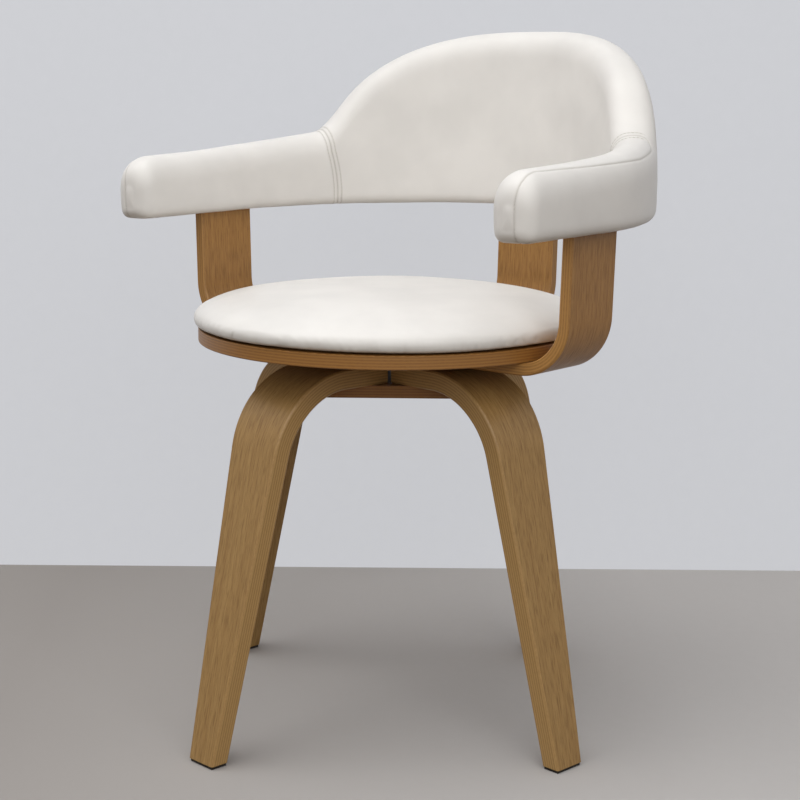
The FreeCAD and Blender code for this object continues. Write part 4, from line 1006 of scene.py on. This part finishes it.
class CHAIR_OT_seat_cushion(bpy.types.Operator):
    """Round crowned cushion, its cover drawn over the edge and gathered below"""
    bl_idname = "chair.seat_cushion"
    bl_label = "Seat cushion"

    def execute(self, context):
        plan = context.scene.chair_cover
        radius = plan.seat_radius
        widest = CUSHION_FOOT + plan.seat_widest
        mesh = seat_form(plan, widest)
        mesh = reshaped(mesh, "REMESH", mode="VOXEL", voxel_size=4 * MM)
        inflate(mesh, pressure=4.0, frames=16, most=1.5 * MM)
        reach = max(math.hypot(vertex.co.x, vertex.co.y) for vertex in mesh.vertices)
        mesh.transform(Matrix.Diagonal((radius / reach, radius / reach, 1.0, 1.0)))
        mesh = reshaped(mesh, "SUBSURF", levels=1)
        tuck(mesh, radius, widest)
        ripple(mesh, height=0.7 * MM, scale=11.0, seed=21.0)
        for turn, slant in SEAT_FOLDS:
            ends = []
            for side in (-1, 1):
                angle = math.radians(turn + side * slant)
                ends.append(Vector((radius * math.cos(angle), radius * math.sin(angle),
                                    CUSHION_FOOT + (6 + 7 * side) * MM)))
            fold(mesh, *ends, width=1.8 * MM, depth=0.8 * MM, shade=0.2)
        mesh.name = "seat_cover"
        piece = new_object("seat_cover", mesh, "seat", ("seat_cushion",))
        mesh.materials.clear()
        mesh.materials.append(shared_cover(plan))
        return {"FINISHED"}


# Stage

STAGE_REACH = 9.0
SENSOR = 36.0  # millimetres
PAINT_MARKS = 60.0  # per metre
# The floor's painted shade fades out across this range, from its left to its right
FLOOR_FADE = (-0.45, 0.35)  # where the floor turns from its left to its right tone
EVEN_SHARE = 0.8  # how much of the wall's seen brightness is even
SKY_RANGE = (0.05, 0.75)  # upward part of a direction, from the horizon's strength to the full
LAMP_AIM = Vector((0, 0, 0.45))


def seen(tree):
    """1 for what the camera, gloss and glass see of a surface, 0 for the light it gives back."""
    path = add_node(tree, "LightPath").outputs
    shown = maths(tree, "ADD", path["Is Camera Ray"], path["Is Glossy Ray"])
    return maths(tree, "ADD", shown, path["Is Transmission Ray"], clamp=True)


def stage_piece(name, corners, tone):
    """A flat piece of the stage: its material's tree, shader, place, mottle and mottled paint."""
    mesh = bpy.data.meshes.new(name)
    mesh.from_pydata(corners, [], [(0, 1, 2, 3)])
    material, tree, shader = new_material(f"{name} paint", 0.9)
    mesh.materials.append(material)
    item = bpy.data.objects.new(name, mesh)
    bpy.context.scene.collection.objects.link(item)
    place = object_place(tree)
    mottle = texture_noise(tree, place, PAINT_MARKS, 4.0, 0.6)
    return tree, shader, place, mottle, blend_colour(tree, mottle, scaled(tone, 0.96), tone)


def add_floor(plan, aside):
    """Plain floor with painted shade that darkens its left side, and that gives back a dim warm
    light.
    """
    wide = STAGE_REACH
    corners = [(-wide, -wide, 0), (wide, -wide, 0), (wide, wide, 0), (-wide, wide, 0)]
    tree, shader, place, mottle, paint = stage_piece("floor", corners, plan.floor)
    run = add_node(tree, "VectorMath", {0: place, 1: aside},
                   operation="DOT_PRODUCT").outputs["Value"]
    # Painted shade: the floor darkens towards the left
    paint = blend_colour(tree, remap(tree, run, *FLOOR_FADE), plan.shaded_floor_left, paint)
    feed(tree, shader, "Base Color", blend_colour(tree, seen(tree), plan.floor_glow, paint))


def add_wall(plan, level, aside):
    """Plain wall, evenly bright where it is seen, and clear from behind."""
    left = level * plan.wall_gap - aside * STAGE_REACH
    right = level * plan.wall_gap + aside * STAGE_REACH
    corners = [left, right, right + UP * STAGE_REACH, left + UP * STAGE_REACH]
    tree, shader, place, mottle, paint = stage_piece("wall", corners, plan.wall)
    feed(tree, shader, "Base Color", paint)
    bright = blend_colour(tree, mottle, plan.backdrop, scaled(plan.backdrop, 1.03))
    even = add_node(tree, "Emission", {"Color": bright}).outputs[0]
    lit = add_node(tree, "MixShader", {0: times(tree, seen(tree), EVEN_SHARE),
                                       1: shader.outputs[0], 2: even}).outputs[0]
    clear = add_node(tree, "BsdfTransparent").outputs[0]
    behind = add_node(tree, "NewGeometry").outputs["Backfacing"]
    mix = add_node(tree, "MixShader", {0: behind, 1: lit, 2: clear}).outputs[0]
    tree.links.new(mix, tree.nodes["Material Output"].inputs["Surface"])


def add_world(scene, plan):
    """Even light from all round, a little weaker towards the horizon."""
    scene.world = bpy.data.worlds.new("world")
    scene.world.use_nodes = True
    sky = scene.world.node_tree
    background = sky.nodes["Background"]
    background.inputs["Color"].default_value = (1.0, 1.0, 1.0, 1.0)
    height = split(sky, add_node(sky, "TexCoord").outputs["Generated"])[2]
    sky.links.new(remap(sky, height, *SKY_RANGE, plan.sky * plan.horizon, plan.sky),
                  background.inputs["Strength"])


class CHAIR_OT_stage(bpy.types.Operator):
    """Camera, lamps, floor and wall"""
    bl_idname = "chair.stage"
    bl_label = "Stage"

    def execute(self, context):
        scene = context.scene
        plan = scene.chair_stage
        spot = Vector((plan.distance * math.sin(plan.azimuth),
                       -plan.distance * math.cos(plan.azimuth), plan.height))
        ahead = Matrix.Rotation(plan.azimuth + plan.heading, 3, "Z") @ Vector((0, 1, 0))
        look = ahead * math.cos(plan.pitch) - UP * math.sin(plan.pitch)
        right = look.cross(UP).normalized()
        above = right.cross(look)
        turn = Matrix((right, above, -look)).transposed().to_4x4()
        data = bpy.data.cameras.new("camera")
        data.lens = plan.lens
        data.sensor_width = SENSOR
        camera = bpy.data.objects.new("camera", data)
        scene.collection.objects.link(camera)
        camera.matrix_world = (Matrix.Translation(spot) @ turn
                               @ Matrix.Rotation(plan.roll, 4, "Z"))
        scene.camera = camera

        level = Vector((ahead.x, ahead.y, 0)).normalized()
        aside = Vector((level.y, -level.x, 0))
        add_floor(plan, aside)
        add_wall(plan, level, aside)
        add_world(scene, plan)
        # Name, watts, width and place of each lamp
        lamps = (("key", plan.key, 1.8, spot * 0.15 + UP * 2.3 - aside * 0.9),
                 ("fill", plan.fill, 1.6, spot * 0.9 + UP * 0.8 + aside * 0.35))
        for name, power, width, place in lamps:
            lamp = bpy.data.lights.new(name, "AREA")
            lamp.energy = power
            lamp.size = width
            item = bpy.data.objects.new(name, lamp)
            turn = (LAMP_AIM - place).to_track_quat("-Z", "Y").to_matrix().to_4x4()
            item.matrix_world = Matrix.Translation(place) @ turn
            scene.collection.objects.link(item)
        scene.view_settings.view_transform = "Standard"
        return {"FINISHED"}


class CHAIR_PT_pieces(bpy.types.Panel):
    """Buttons for the chair's pieces"""
    bl_idname = "CHAIR_PT_pieces"
    bl_label = "Swivel armchair"
    bl_space_type = "VIEW_3D"
    bl_region_type = "UI"
    bl_category = "Chair"

    def draw(self, context):
        for operator in OPERATORS:
            self.layout.operator(operator.bl_idname)


OPERATORS = (CHAIR_OT_plywood, CHAIR_OT_hardware, CHAIR_OT_back_and_arms, CHAIR_OT_seat_cushion,
             CHAIR_OT_stage)
SETTINGS = (("chair_wood", ChairWoodSettings), ("chair_cover", ChairCoverSettings),
            ("chair_stage", ChairStageSettings))


def register():
    for name, group in SETTINGS:
        bpy.utils.register_class(group)
        setattr(bpy.types.Scene, name, PointerProperty(type=group))
    for item in OPERATORS + (CHAIR_PT_pieces,):
        bpy.utils.register_class(item)


def unregister():
    for item in reversed(OPERATORS + (CHAIR_PT_pieces,)):
        bpy.utils.unregister_class(item)
    for name, group in reversed(SETTINGS):
        delattr(bpy.types.Scene, name)
        bpy.utils.unregister_class(group)


def main():
    register()
    bpy.ops.chair.plywood()
    bpy.ops.chair.hardware()
    bpy.ops.chair.back_and_arms()
    bpy.ops.chair.seat_cushion()
    bpy.ops.chair.stage()


if __name__ == "__main__":
    main()
